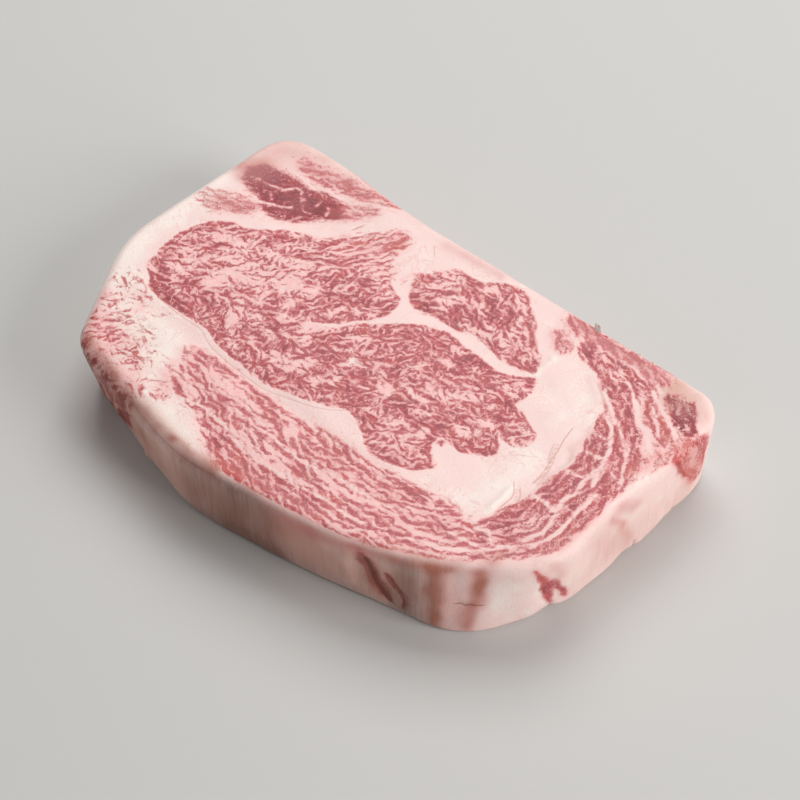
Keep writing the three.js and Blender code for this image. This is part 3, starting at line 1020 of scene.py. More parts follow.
# Each row: from x, y to x, y, reach, amount.
FACE_TINTS = {
    Tone.LEANER: (
        (-75, -20, -55, -21, 7, 0.5), (18, 24, 30, 23, 6, 0.45), (-12, -5, 6, -14, 9, 0.4),
        (-66, 4, -50, 6, 10, -0.45), (-44, 12, -34, 14, 8, -0.35), (-56, -4, -56, -4, 9, -0.3),
        (-30, 15, -18, 18, 6, 0.35), (8, 43, 20, 46, 7, 0.45), (12, 22, -2, 12, 7, 0.3),
        (20, -6, 46, -4, 6, 0.35), (52, 12, 46, 12, 5, 0.3), (10, 5, 20, -2, 6, 0.1),
        (-72, -50, -80, -44, 5, 0.25), (-64, -46, -54, -47, 5, 0.4), (-54, -35, -46, -42, 6, -0.9),
        (-68, -29, -60, -31, 4, -0.9), (-80, -26, -70, -30, 4, -0.4), (-46, -53, -60, -55, 4, -0.6),
        (-10, -56, 20, -55, 5, 0.3), (-30, -43, 4, -44, 3, 0.2), (-44, -31.5, 0, -31.6, 1.4, 0.5),
        (95, 26, 96, -14, 3, -0.7), (20, -62, 60, -49, 3, -0.3), (86, -14, 86, -26, 7, -0.5),
        (70, -40, 60, -46, 5, -0.3), (86.6, 36.4, 90, 32, 2.6, -1.2), (79, 50, 86, 44, 3, -0.1),
        (-30, 40, -26, 50, 5, -0.5), (-24, 34, -18, 28, 4, -0.3), (-68, 40, -58, 46, 6, 0.4),
        (5, 35, 12, 34, 3, 0.3), (-51, 49.5, -44, 55, 3.4, -1.3), (-80, 40, -58, 44, 7, 0.5),
        (92, 49.4, 97, 47.6, 3, 0.9),
    ),
    Tone.FLUSH: (
        (-64.5, 47.4, -61.5, 48.6, 1.8, 0.5), (-56.8, 45.6, -52.6, 48.4, 2.2, 0.6),
        (-78, 47, -75.4, 47.6, 1.8, 0.45), (-77, 42.6, -74, 41.2, 1.6, 0.4), (-28, 44, -28, 51, 1.5, 0.9),
        (-40, 36, -34, 42, 3, 0.5), (-10, 11, -8, 9.5, 1.6, 0.7), (-6, 31, -3, 32, 2, 0.5),
        (92.6, 22, 98, 42, 2.6, 0.7), (101, 36, 100, 44, 3, 0.9), (81, 46, 85, 41, 2.4, 0.5),
        (88, 44, 91.4, 39.4, 2.2, 0.5), (-8, -60.6, 12, -61.6, 2.4, 1.0), (29, -48, 33, -49, 2, 0.5),
        (-36, 25, -34, 25, 3, 0.3), (-5, -52, 0, -56, 2, 0.4), (16, 19, 20, 17, 2, 0.25),
        (88, 45, 90, 42, 2, 0.35), (-86, 21, -82, 22, 5, 0.2), (12, -47, 22, -47, 2, 0.3),
        (-80, -46, -60, -53, 3, 0.3),
    ),
    Tone.DEEP: (
        (-51, 50, -44, 55, 3.6, -0.7), (-74, 36, -58, 40, 4, 0.25), (-1.5, 31.2, -1.5, 31.2, 1.3, 0.8),
        (-56.5, -14, -56.5, -14, 1.2, 0.6), (-2, 33, -8, 33, 2.5, 0.2), (8, 39, 20, 44, 6, 0.12),
        (20, 25, 40, 25, 3, 0.1), (20, -5, 50, -5, 4, 0.15), (84, 38, 90, 32, 3, 0.18),
        (-30, 20, -18, 20, 4, 0.12), (20, -56, 24, -55, 2.5, 0.3), (-60, -23, -76, -21, 2.5, 0.15),
        (92, 49, 97, 47.6, 3, 0.25),
    ),
    Tone.WASH: (
        (-94, 39, -90, 45, 3, 0.5), (85, 54.6, 91, 52, 3, 0.4), (72.8, 27, 74.4, 14, 1.3, 0.35),
        (59, 43.4, 68, 37.6, 1.6, 0.3), (-90, 40, -84, 42, 5, 0.4), (-52, 46, -46, 54, 3.5, 0.35),
        (-80, 56, -50, 59, 3.4, 0.42), (-92, 38, -90, 46, 4, 0.4), (-69, 37, -66, 42, 4, 0.3),
        (-36, -40, 60, -38, 10, 0.12), (84, -20, 88, 40, 8, 0.1), (-90, 55, -94, 60, 6, 0.3),
        (-92, 22, -80, 26, 4, 0.34), (42, 60.5, 76, 59.5, 2.8, 0.4), (-14, 58.5, 8, 60, 2.4, 0.45),
        (90, -18, 80, -32, 4, 0.25), (96, 4, 95, -14, 2.5, 0.3), (-34, 40, -28, 50, 4, 0.25),
        (0, -58, 40, -55, 3, 0.25), (39, 51, 44, 49, 3, 0.4), (58, 22, 58, 18, 4, 0.12),
    ),
    Tone.CREAM: (
        (-97, -16, -97, 34, 7, 0.9), (-93, -18, -88, -26, 6, 0.7), (60, 20, 60, 42, 8, 0.35),
        # Along x 69.4 and x 45 pale fat ridges carry a painted highlight, and the stroke at (-15, -2) is a
        # painted glint.
        (62, -20, 67, 6, 6, 0.6), (69.4, -18, 69.4, -7, 1.3, 0.9), (45, 34, 45.3, 44, 1.6, 0.7),
        (-15, -2.4, -14, -1.2, 1.6, 0.9), (-1.5, -1.5, -1.2, -1.5, 1.8, 0.8),
        (-16, 51, -15.6, 51, 2.2, 0.4), (88, 62, 96, 60, 4, 0.2), (-34, -54, -24, -57, 6, 0.5),
        (-50, -43, -46, -52, 5, 0.55), (-80, -32, -58, -42, 11, 0.85), (66, 38, 70, 20, 4, 0.3),
        # The stroke from (-44, -56.4) to (-16, -61) is cream fat with a painted highlight on the cap's
        # rounded edge.
        (-60, -34, -52, -38, 5, 0.35), (97, 10, 99, 24, 4, 0.6), (-44, -56.4, -16, -61, 2, 0.8),
    ),
    Tone.DULL: (
        (-92, 48, -86, 60, 9, 0.55), (-76, 62, -30, 62, 4, 0.3), (-80, -36, -54, -48, 10, 0.2),
        (82, 60, 100, 55, 5, 0.45), (84, 54, 92, 51, 4, 0.7), (83, 60, 88, 60.4, 3, 0.3),
        (40, 60, 80, 60, 4, 0.2), (-40, -58, -10, -62, 3, 0.4), (-93, 38, -88, 44, 5, 0.4),
    ),
    Tone.STAIN: (
        (-90, 40, -92, 44, 5, 0.25), (82, -31, 84, -36, 3, 0.35), (-58, -57.4, -76, -52, 2.2, 0.8),
        (-56, -58.4, -24, -63.2, 1.9, 0.75), (-24, -63.4, -4, -62.8, 1.8, 0.7),
        (40, -58, 76, -40, 2.4, 0.4), (8, -63, 30, -61, 2.5, 0.35),
    ),
    Tone.HEIGHT: (
        (69.2, -17, 69.2, -7, 1.1, 0.35), (45, 35, 45.2, 43, 1.2, 0.25), (-45, 27, -40, 23, 2, 0.2),
        (72.6, -10, 74, 16, 1.4, -0.3),
    ),
}
FACE_PLAN = CutPlan(FACE_MUSCLES, FACE_GRAIN, FACE_ISLANDS, FACE_SEAMS, FACE_GROOVES, FACE_TINTS)

# --- The wall, laid out flat: first along the rim, then up, in mm

CAP_END_LEAN = (
    (126, 24), (133, 31), (142, 33), (154, 33), (163, 33), (169, 31), (168, 23), (165, 14), (160, 7),
    (150, 2), (136, 1), (126, 4), (122, 14),
)
LONG_SLIT = (
    (264.6, 26), (267.4, 24.6), (269.8, 18.6), (272.4, 11.6), (275, 4.6), (272.4, 6), (268.4, 11.6),
    (264.4, 18.6),
)
SHORT_SLIT = (
    (272.4, 19.8), (275.4, 17), (278.6, 12), (280, 7), (279.2, 2.6), (277.8, 7), (276, 12), (273.4, 15.6),
)
CORNER_LEAN = (
    (321.6, 18.6), (325.4, 18.4), (328.2, 13), (327.2, 8.8), (327.2, 4), (324.8, 7), (322.8, 12),
)
CORNER_BRANCH = (
    (325.8, 18.4), (328.8, 15.2), (331.4, 10.4), (332.8, 4.8), (330.6, 6.6), (329, 10.6),
)
CORNER_TIP = (
    (318.4, 29), (320.6, 25.6), (323.6, 20.4), (325, 17.6), (322, 18.6), (319.8, 23.4),
)
WALL_FIBRES = (
    (380.4, 33), (386, 33), (394, 32), (398, 27), (398.6, 18), (397.6, 9), (394.4, 6.6), (390, 12),
    (385, 19), (381.4, 26),
)
BACK_LEAN = (
    (420, 34), (430, 34), (448, 34), (471, 34), (466, 28), (458, 23), (449, 25), (440, 21), (432, 25),
    (426, 27),
)
RIB_BACK_LEAN = (
    (543, 34), (563, 34), (586, 34), (581, 29), (574, 28), (566, 24), (556, 27), (550, 26),
)

# Each: border, share, tone, streak, bold, edge, gather, threads, rim, wander.
WALL_MUSCLES = (
    Muscle(CAP_END_LEAN, 0.5, 1.1, 2.0, 0.95, 2.0, 2.1, 0.5),
    Muscle(LONG_SLIT, 1.0, 1.2, 3.0, 0.1, 2.6, 0.3, 0.0),
    Muscle(SHORT_SLIT, 0.95, 0.95, 3.0, 0.1, 1.8, 0.3, 0.0),
    Muscle(CORNER_LEAN, 1.0, 0.75, 2.0, 0.3, 1.7, 0.7, 0.3),
    Muscle(CORNER_BRANCH, 1.0, 0.8, 2.0, 0.3, 1.7, 0.7, 0.3),
    Muscle(CORNER_TIP, 1.0, 0.7, 3.0, 0.3, 1.7, 0.7, 0.3),
    Muscle(WALL_FIBRES, 0.78, 0.65, 4.0, 0.6, 2.4, 1.5, 1.0),
    Muscle(BACK_LEAN, 0.5, 0.4, 2.0, 0.9, 3.4, 1.6),
    Muscle(RIB_BACK_LEAN, 0.46, 0.45, 2.0, 0.9, 3.4, 1.6),
)
# Each row: s, up, degrees, reach.
WALL_GRAIN = grains(
    (60, 15, 88, 40), (112, 15, 80, 12), (135, 15, 54, 12), (150, 20, 54, 12), (162, 20, 58, 8),
    (180, 15, 84, 10), (223, 15, 88, 30), (271, 14, -72, 6), (293, 15, 88, 14), (325, 15, -60, 7),
    (348, 15, 86, 12), (371, 12, 80, 8), (386, 18, -60, 8), (423, 15, 60, 14), (448, 24, 8, 14),
    (493, 15, 20, 20), (533, 15, 85, 20), (568, 26, 10, 14),
)
# Each row: s, up, half sizes, tilt in degrees.
WALL_ISLANDS = (
    *islands(
        (391.5, 22, 1.0, 5, 14), (146, 22, 1.4, 4, -38), (153, 12, 1.4, 4, -38),
    ),
    *islands(
        (158.5, 27, 1.4, 3, -36), (161.5, 14.5, 1.6, 2.6, -36), (152, 20, 1.6, 2.2),
        lean=True,
    ),
)
WALL_SEAMS = (
    Seam(((136, 32), (131, 24), (127, 16)), 1.0),
    Seam(((151, 33), (144, 21), (137, 10)), 1.2),
    Seam(((163, 31), (156, 19), (149, 8)), 0.9),
    Seam(((383, 30), (388, 19), (394, 9)), 0.6),
)
# Each: path, width, depth, darkness.
WALL_GROOVES = (
    # On the wall the grooves' darkness is partly the dark lean of the slits and partly painted shade in the
    # slits, the rim crease and the gaps at the foot.
    Groove(((266.6, 22.6), (268, 18.6), (269.8, 13), (272.2, 8), (274.4, 5)), 1.5, 0.35, 0.7),
    Groove(((273.4, 18.6), (275.4, 15.6), (277.8, 11.6), (279, 7.6), (278.6, 3.6)), 0.7, 0.3, 0.5),
    Groove(((271.8, 17.6), (274.2, 14), (276.2, 10.4), (277, 6)), 0.5, -0.2, 0.0),
    Groove(((325.6, 17.4), (328, 12.4), (328.6, 8.4)), 0.9, 0.3, 0.0),
    Groove(
        (
            (294.4, 13.4), (296, 13.9), (297, 13), (298.6, 13.8), (300, 13.4), (302.4, 13.6),
        ),
        0.5, 0.2, 0.5,
    ),
    Groove(((327.4, 0), (327, 3.4)), 0.7, 0.9, 0.3),
    Groove(((364, 0), (363.4, 4)), 0.8, 0.9, 0.2),
    Groove(((383.6, 0), (383, 4.4)), 0.8, 0.9, 0.2),
    Groove(((169.6, 0), (170.4, 6.5), (169.4, 9)), 0.8, 1.1, 0.3),
    Groove(((168, 28.6), (176, 28.4), (184, 28.2), (193, 28.4), (202, 28.2), (210, 28.4)), 0.8, 0.3, 0.3),
)
# Each row: from s, up to s, up, reach, amount.
WALL_TINTS = {
    Tone.CREAM: (
        (20, 16, 126, 16, 18, 0.8), (310, 16, 345, 16, 13, 0.35), (362, 20, 377, 18, 9, 0.2),
        (177, 12, 207, 10, 9, 0.25), (403, 12, 419, 16, 12, 0.5), (473, 20, 543, 18, 12, 0.35),
        (237, 6, 261, 6, 8, 0.2),
    ),
    Tone.DULL: (
        # The strong stroke from s 128 to 270 dulls the front-left wall, partly as dried fat and partly as
        # painted shade.
        (128, 14, 270, 14, 15, 0.95), (340, 10, 393, 8, 11, 0.4), (423, 10, 591, 10, 14, 0.4),
        (0, 14, 16, 14, 12, 0.4), (278, 16, 286, 16, 5, 0.3),
    ),
    Tone.STAIN: (
        # The broad weak stroke from s 168 to 260 browns the front-left wall, partly as stain and partly as
        # painted shade.
        (132, 16, 166, 20, 12, 0.4), (166, 28.6, 212, 28.6, 1.8, 0.6), (168, 14, 260, 14, 16, 0.12),
        (265.6, 24, 271, 8, 3.0, 0.5), (287.6, 28, 288.6, 2, 3.2, 0.95), (302, 30, 301, 16, 2.8, 0.9),
        (298.6, 13, 297.6, 3, 2.2, 0.6), (270, 29, 292, 29, 3.0, 0.65), (347, 22, 351, 10, 5, 0.12),
        (360, 12, 359, 6, 3, 0.2), (173, 18, 177, 13, 4, 0.15), (433, 12, 463, 8, 8, 0.25),
        (493, 24, 523, 22, 7, 0.25), (569, 12, 583, 8, 8, 0.2),
    ),
    Tone.FLUSH: (
        (236, 20, 246, 25, 6, 0.5), (232, 27, 264, 27, 4, 0.8), (301.6, 30, 301, 14, 2.8, 0.9),
        (290, 28, 296, 4, 5, 0.5), (262, 29, 306, 30, 2.4, 0.6), (325, 30, 329, 18, 2.2, 0.5),
        (352, 25, 357.4, 17, 1.6, 0.8), (358, 14, 361, 8, 2.6, 0.45), (357, 27, 362, 23, 3, 0.7),
        (298, 12, 297.6, 4, 2.4, 0.6), (386, 31, 393, 14, 6, 0.8), (343, 24, 352, 16, 6, 0.3),
        (319, 28, 323, 20, 2, 0.7), (120, 28, 130, 18, 4, 0.6),
    ),
    # Painted shade in dark brown: the front-left wall's shaded stretch, the slits and the turn of the corner
    # at s 288.
    Tone.SHADE: (
        (218, 0, 218, 30, 10, 0.78), (231, 0, 231, 24, 6, 0.5), (216, 1, 234, 1, 8, 0.3),
        (202, 0, 202, 30, 8, 0.5), (279.5, 4, 280, 27, 6, 0.62), (240, 2, 258, 2, 8, 0.3),
        (264, 0, 280, 3, 6, 0.16), (287.4, 26, 288, 1, 1.9, 0.6), (266, 21, 273, 8, 2.2, 0.6),
    ),
    Tone.LEANER: (
        (146, 22, 162, 20, 4, 1.1), (154, 8, 163, 16, 3, 1.3), (132, 12, 140, 8, 4, 0.5),
        (381, 29, 388, 14, 2.4, 1.2), (390.4, 27, 392, 18, 1.4, -2.0),
    ),
    Tone.DEEP: (
        (150, 12, 162, 22, 6, 0.2), (381, 29, 387, 15, 1.6, 0.5),
    ),
    Tone.HEIGHT: (
        (133, 6, 133, 30, 4, 0.25), (142, 6, 148, 26, 3, -0.3), (174, 4, 178, 28, 5, 0.3),
        (193, 4, 193, 28, 7, 0.3), (207, 6, 208, 26, 5, -0.3), (231, 4, 231, 24, 7, 0.25),
        (261, 8, 260, 24, 2.5, 0.6), (270, 10, 272, 20, 1.8, 0.4), (285, 6, 283, 26, 5, 0.4),
        (293, 4, 294, 26, 2.5, -0.25), (309, 6, 309, 24, 7, 0.35), (337, 6, 335, 26, 5, 0.4),
        (359, 6, 355, 26, 4, -0.3), (369, 6, 369, 24, 5, 0.3), (171, 7, 172, 5, 1.6, 0.9),
        (381, 6, 377, 20, 2.5, 0.35), (70, 4, 70, 26, 10, 0.25), (50, 4, 52, 26, 6, -0.25),
        (433, 6, 429, 24, 6, 0.25), (463, 6, 467, 24, 6, -0.3), (503, 6, 501, 26, 8, 0.3),
        (553, 4, 549, 26, 6, -0.3),
    ),
}
WALL_PLAN = CutPlan(WALL_MUSCLES, WALL_GRAIN, WALL_ISLANDS, WALL_SEAMS, WALL_GROOVES, WALL_TINTS)


# --- Meshes


EASING_ROUNDS = 120
FACE_RASTER = Raster(-108, -72, 0.3, 720, 480)
UNDER_RASTER = Raster(-108, -72, 0.6, 360, 240)
WALL_RASTER = Raster(-6, -6, 0.5, 1224, 90)


def coons(front: Array, right: Array, back: Array, left: Array) -> Array:
    """Fills four border curves that meet: the sum of both rulings less the corners' bilinear.

    Args:
        front: Points from the left corner to the right one, at v = 0.
        right: Points from the front corner to the back one, at u = 1.
        back: Points from the left corner to the right one, at v = 1.
        left: Points from the front corner to the back one, at u = 0.

    Returns:
        The grid of points, row by row from front to back, eased by averaging with its neighbours.
    """
    u = np.linspace(0, 1, len(front))[None, :, None]
    v = np.linspace(0, 1, len(left))[:, None, None]
    ruled = (1 - v) * front[None] + v * back[None] + (1 - u) * left[:, None] + u * right[:, None]
    corners = (1 - u) * (1 - v) * front[0] + u * (1 - v) * front[-1]
    corners = corners + (1 - u) * v * back[0] + u * v * back[-1]
    grid = ruled - corners
    for _ in range(EASING_ROUNDS):
        around = grid[:-2, 1:-1] + grid[2:, 1:-1] + grid[1:-1, :-2] + grid[1:-1, 2:]
        grid[1:-1, 1:-1] = around / 4
    return grid


def placed(name: str, data: bpy.types.ID) -> bpy.types.Object:
    """A new object of the given data in the scene, at the origin."""
    made = bpy.data.objects.new(name, data)
    bpy.context.scene.collection.objects.link(made)
    return made


def cell_corners(table: Array) -> Array:
    """A table's values at the four corners of each of its cells, counter-clockwise if its rows go up."""
    parts = (table[:-1, :-1], table[:-1, 1:], table[1:, 1:], table[1:, :-1])
    return np.stack(parts, axis=-1).reshape(-1, 4)


@dataclass(frozen=True)
class UVSheet:
    """How the steak's surface lies in its texture, a square of a size in mm, the face at full scale."""

    side: float = 238.0
    wall_scale: float = 0.8
    base_scale: float = 0.55
    strip_start: float = 115.0
    strip_lengths: tuple[float, float] = (295.0, 252.0)
    strip_heights: tuple[float, float] = (76.0, 47.0)
    upright_at: float = 207.5
    face_at: tuple[float, float] = (103.0, 171.5)
    base_at: tuple[float, float] = (124.0, 37.5)
    margin: float = 1.0

    def face(self, x: Array, y: Array) -> Array:
        """The cut face, at the top left."""
        return np.stack([x + self.face_at[0], y + self.face_at[1]], axis=-1) / self.side

    def base(self, x: Array, y: Array) -> Array:
        """The underside, mirrored so that it isn't turned inside out, at the bottom middle."""
        k = self.base_scale
        return np.stack([self.base_at[0] - x * k, self.base_at[1] + y * k], axis=-1) / self.side

    def wall(self, s: Array, up: Array, around: Array, total: float) -> Array:
        """The wall in three strips, one up the right side and two below the face.

        Args:
            s: Distance along the rim of each point.
            up: Distance up the wall of each point.
            around: Distance along the rim of each point's face, which picks the strip.
            total: The rim's length.

        Returns:
            The texture places.
        """
        k, edge = self.wall_scale, self.margin
        first, second = self.strip_lengths
        low, lower = self.strip_heights
        place = (around - self.strip_start) % total
        here = place + (s - around)
        a = np.stack([self.upright_at + up * k, edge + here * k], axis=-1)
        b = np.stack([edge + (here - first) * k, low + up * k], axis=-1)
        c = np.stack([edge + (here - first - second) * k, lower + up * k], axis=-1)
        strip = (place > first).astype(int) + (place > first + second)
        return np.where(strip[..., None] == 0, a, np.where(strip[..., None] == 1, b, c)) / self.side


@dataclass
class SteakSurface:
    """The steak as one closed surface: wall rings, a grid over the cut face, a coarser one beneath."""

    along_x: int = 288
    along_y: int = 162
    heel_rings: int = 6
    wall_rings: int = 26
    rim_rings: int = 10
    base_inset: float = 0.8
    rim_blend: tuple[float, float] = (0.25, 0.8)
    seeds: tuple[int, int, int] = (11, 23, 37)
    under_coarser: float = 1.6

    def __post_init__(self) -> None:
        """Lays out the columns and the marbling of each side."""
        self.outline = Outline()
        self.columns = self.outline.columns(self.along_x, self.along_y)
        self.around = self.outline.length()
        face_seed, under_seed, wall_seed = self.seeds
        self.face = Marbling(FACE_PLAN, FACE_RASTER, face_seed)
        self.under = Marbling(FACE_PLAN, UNDER_RASTER, under_seed, self.under_coarser)
        self.wall = Marbling(WALL_PLAN, WALL_RASTER, wall_seed)
        self.uv = UVSheet()

    def build(self) -> bpy.types.Object:
        """Makes the steak's mesh, its texture places and its fields.

        Returns:
            The object, at the origin, not yet dressed.
        """
        rings, up, blend = self._rings()
        count = len(self.columns.s)
        ring_index = np.arange(len(rings) * count).reshape(len(rings), count)
        face_index, face_points = self._face(rings[-1], ring_index[-1], rings.shape[0] * count)
        start = rings.shape[0] * count + len(face_points)
        base_index, base_points, base_edge = self._base(rings[0], start)
        points = np.vstack([rings.reshape(-1, 3), face_points, base_points])
        values = self._fields(points, rings, blend, len(face_points))
        points = self._relief(points, values, rings.shape, len(face_points), blend)
        faces, uvs = self._faces(points, ring_index, face_index, base_index, base_edge, up)
        return self._object(points * MM, faces, uvs, values)

    def _rings(self) -> tuple[Array, Array, Array]:
        """The wall's rings of points, from the heel's foot to the rim's inner edge.

        The heel is a quarter circle from the floor, the wall runs straight between the base and the rim
        outlines plus its forms, and the rim is a quarter circle that lifts to the face's height.
        """
        c = self.columns
        heel = softened(c, HEEL_RADIUS, HEEL_HOLLOWS)
        rim = softened(c, RIM_RADIUS, RIM_SOFTER)
        edge = c.rim - c.normal * rim[:, None]
        lift = face_height(edge[:, 0], edge[:, 1]) - THICKNESS
        z, inset, blend = [], [], []
        for k in range(self.heel_rings):
            turn = math.pi / 2 * k / self.heel_rings
            z.append(heel * (1 - math.cos(turn)))
            inset.append(heel * (1 - math.sin(turn)))
            blend.append(0.0)
        for k in range(self.wall_rings + 1):
            z.append(heel + (THICKNESS - rim - heel) * k / self.wall_rings)
            inset.append(np.zeros(len(heel)))
            blend.append(0.0)
        for k in range(1, self.rim_rings + 1):
            turn = math.pi / 2 * k / self.rim_rings
            z.append(THICKNESS - rim + rim * math.sin(turn))
            inset.append(rim * (1 - math.cos(turn)))
            blend.append(float(ease(np.array(k / self.rim_rings), *self.rim_blend)))
        z, inset, blend = np.array(z), np.array(inset), np.array(blend)
        share = (z / THICKNESS)[..., None]
        out = np.array([wall_push(c, row) for row in z]) - inset
        flat = c.base[None] + (c.rim - c.base)[None] * share + c.normal[None] * out[..., None]
        turned = np.clip((z - (THICKNESS - rim)) / rim, 0, 1)
        height = z + lift * turned
        rings = np.concatenate([flat, height[..., None]], axis=-1)
        up = np.r_[0, np.cumsum(np.linalg.norm(np.diff(rings, axis=0), axis=2).mean(axis=1))]
        return rings, up, blend

    def _border(self, values: Array, nx: int, ny: int) -> tuple[Array, ...]:
        """Splits a ring's values into front, right, back and left runs, each with both its ends."""
        loop = np.concatenate([values, values[:1]])
        left = loop[: ny + 1][::-1]
        front = loop[ny : ny + nx + 1]
        right = loop[ny + nx : 2 * ny + nx + 1]
        back = loop[2 * ny + nx : 2 * ny + 2 * nx + 1][::-1]
        return front, right, back, left

    def _filled(self, ring: Array, nx: int, ny: int) -> Array:
        """The plan points of a grid inside a ring."""
        return coons(*self._border(ring[:, :2], nx, ny))

    def _face(self, ring: Array, ring_index: Array, start: int) -> tuple[Array, Array]:
        """The cut face's table of indices and its inner points, at the face's own height."""
        nx, ny = self.along_x, self.along_y
        grid = self._filled(ring, nx, ny)
        index = np.zeros((ny + 1, nx + 1), int)
        front, right, back, left = self._border(ring_index, nx, ny)
        index[0], index[-1], index[:, 0], index[:, -1] = front, back, left, right
        index[1:-1, 1:-1] = start + np.arange((ny - 1) * (nx - 1)).reshape(ny - 1, nx - 1)
        inner = grid[1:-1, 1:-1].reshape(-1, 2)
        return index, np.column_stack([inner, face_height(inner[:, 0], inner[:, 1])])

    def _base(self, ring: Array, start: int) -> tuple[Array, Array, Array]:
        """The underside's table of indices, its points on the floor, and its edge's indices in order."""
        nx, ny = self.along_x // 2, self.along_y // 2
        edge = (ring[:, :2] - self.columns.normal * self.base_inset)[::2]
        grid = self._filled(edge, nx, ny)
        index = start + np.arange(grid.shape[0] * grid.shape[1]).reshape(grid.shape[:2])
        points = np.column_stack([grid.reshape(-1, 2), np.zeros(grid.shape[0] * grid.shape[1])])
        left, front = index[::-1, 0][:-1], index[0][:-1]
        right, back = index[:, -1][:-1], index[-1][::-1][:-1]
        return index, points, np.concatenate([left, front, right, back])

    def _fields(
        self, points: Array, rings: Array, blend: Array, face_count: int
    ) -> dict[str, Array]:
        """Each field at each point: the wall's below the rim, the face's above, the underside's own."""
        ring_points = rings.shape[0] * rings.shape[1]
        face_part = slice(ring_points, ring_points + face_count)
        base_part = slice(ring_points + face_count, len(points))
        s = np.tile(self.columns.s % self.around, rings.shape[0])
        share = np.repeat(blend, rings.shape[1])
        wall_z = rings[..., 2].reshape(-1)
        wrap = ease(s, self.around - WRAP, self.around - 0.5)
        x, y = points[:, 0], points[:, 1]
        values = {}
        for name in FIELDS + GRAIN_FIELDS:
            face = self.face.at(name, x[:ring_points], y[:ring_points])
            before = self.wall.at(name, s - self.around, wall_z)
            wall = self.wall.at(name, s, wall_z) * (1 - wrap) + before * wrap
            value = np.zeros(len(points))
            value[:ring_points] = wall * (1 - share) + face * share
            value[face_part] = self.face.at(name, x[face_part], y[face_part])
            value[base_part] = self.under.at(name, x[base_part], y[base_part])
            values[name] = value
        side = np.zeros(len(points))
        side[:ring_points] = 1 - share
        values["side"] = side
        values["grain_draw"] = values["grain_draw"] * (1 - side)
        values["grain"] = np.stack([values.pop(name) for name in GRAIN_FIELDS], axis=-1)
        return values

    def _relief(
        self,
        points: Array,
        values: dict[str, Array],
        shape: tuple[int, ...],
        face_count: int,
        blend: Array,
    ) -> Array:
        """Moves the points by the height field: up on the face, outward on the wall, both on the rim."""
        moved = points.copy()
        height = values.pop("height")
        ring_points = shape[0] * shape[1]
        moved[ring_points : ring_points + face_count, 2] += height[ring_points : ring_points + face_count]
        share = np.repeat(blend, shape[1])
        out = np.tile(self.columns.normal, (shape[0], 1))
        row = np.repeat(np.arange(shape[0]), shape[1])
        hold = np.clip(row / self.heel_rings, 0, 1)
        moved[:ring_points, 2] += height[:ring_points] * share
        moved[:ring_points, :2] += out * (height[:ring_points] * (1 - share) * hold)[:, None]
        return moved

    def _faces(
        self,
        points: Array,
        ring_index: Array,
        face_index: Array,
        base_index: Array,
        base_edge: Array,
        up: Array,
    ) -> tuple[list, Array]:
        """All faces and the texture place of each of their corners."""
        count = ring_index.shape[1]
        closed = np.column_stack([ring_index, ring_index[:, 0]])
        wall = cell_corners(closed)
        s = np.r_[self.columns.s, self.columns.s[0] + self.around]
        s_table = np.broadcast_to(s[None], closed.shape)
        up_table = np.broadcast_to(up[:, None], closed.shape)
        corner_s = cell_corners(s_table)
        corner_up = cell_corners(up_table)
        middle = corner_s.mean(axis=1, keepdims=True) * np.ones((1, 4))
        wall_uv = self.uv.wall(corner_s, corner_up, middle, self.around)
        face = cell_corners(face_index)
        face_uv = self.uv.face(points[face][..., 0], points[face][..., 1])
        base = cell_corners(base_index)[:, ::-1]
        base_uv = self.uv.base(points[base][..., 0], points[base][..., 1])
        ring = closed[0]
        inner = np.r_[base_edge, base_edge[:1]]
        half = count // 2
        here, ahead = inner[:half], inner[1 : half + 1]
        first, second, third = ring[0:count:2], ring[1:count:2], ring[2 : count + 1 : 2]
        skirt = np.stack([here, ahead, third, second], axis=1)
        corner = np.stack([here, second, first], axis=1)
        skirt_uv = self.uv.base(points[skirt][..., 0], points[skirt][..., 1])
        corner_uv = self.uv.base(points[corner][..., 0], points[corner][..., 1])
        blocks = (wall, face, base, skirt, corner)
        faces = [row for block in blocks for row in block.tolist()]
        uvs = np.concatenate([q.reshape(-1, 2) for q in (wall_uv, face_uv, base_uv, skirt_uv, corner_uv)])
        return faces, uvs

    @staticmethod
    def _object(
        points: Array, faces: list, uvs: Array, values: dict[str, Array]
    ) -> bpy.types.Object:
        """Puts the points, faces, texture places and fields into a Blender object."""
        mesh = bpy.data.meshes.new("ribeye_steak")
        mesh.from_pydata(points.tolist(), [], faces)
        layer = mesh.uv_layers.new(name="OFBake")
        layer.uv.foreach_set("vector", uvs.astype(np.float32).ravel())
        for name, value in values.items():
            if value.ndim == 1:
                attribute = mesh.attributes.new(name, "FLOAT", "POINT")
                attribute.data.foreach_set("value", value.astype(np.float32))
            else:
                attribute = mesh.attributes.new(name, "FLOAT_VECTOR", "POINT")
                attribute.data.foreach_set("vector", value.astype(np.float32).ravel())
        mesh.shade_smooth()
        mesh.update()
        return placed("ribeye_steak", mesh)


# --- Materials


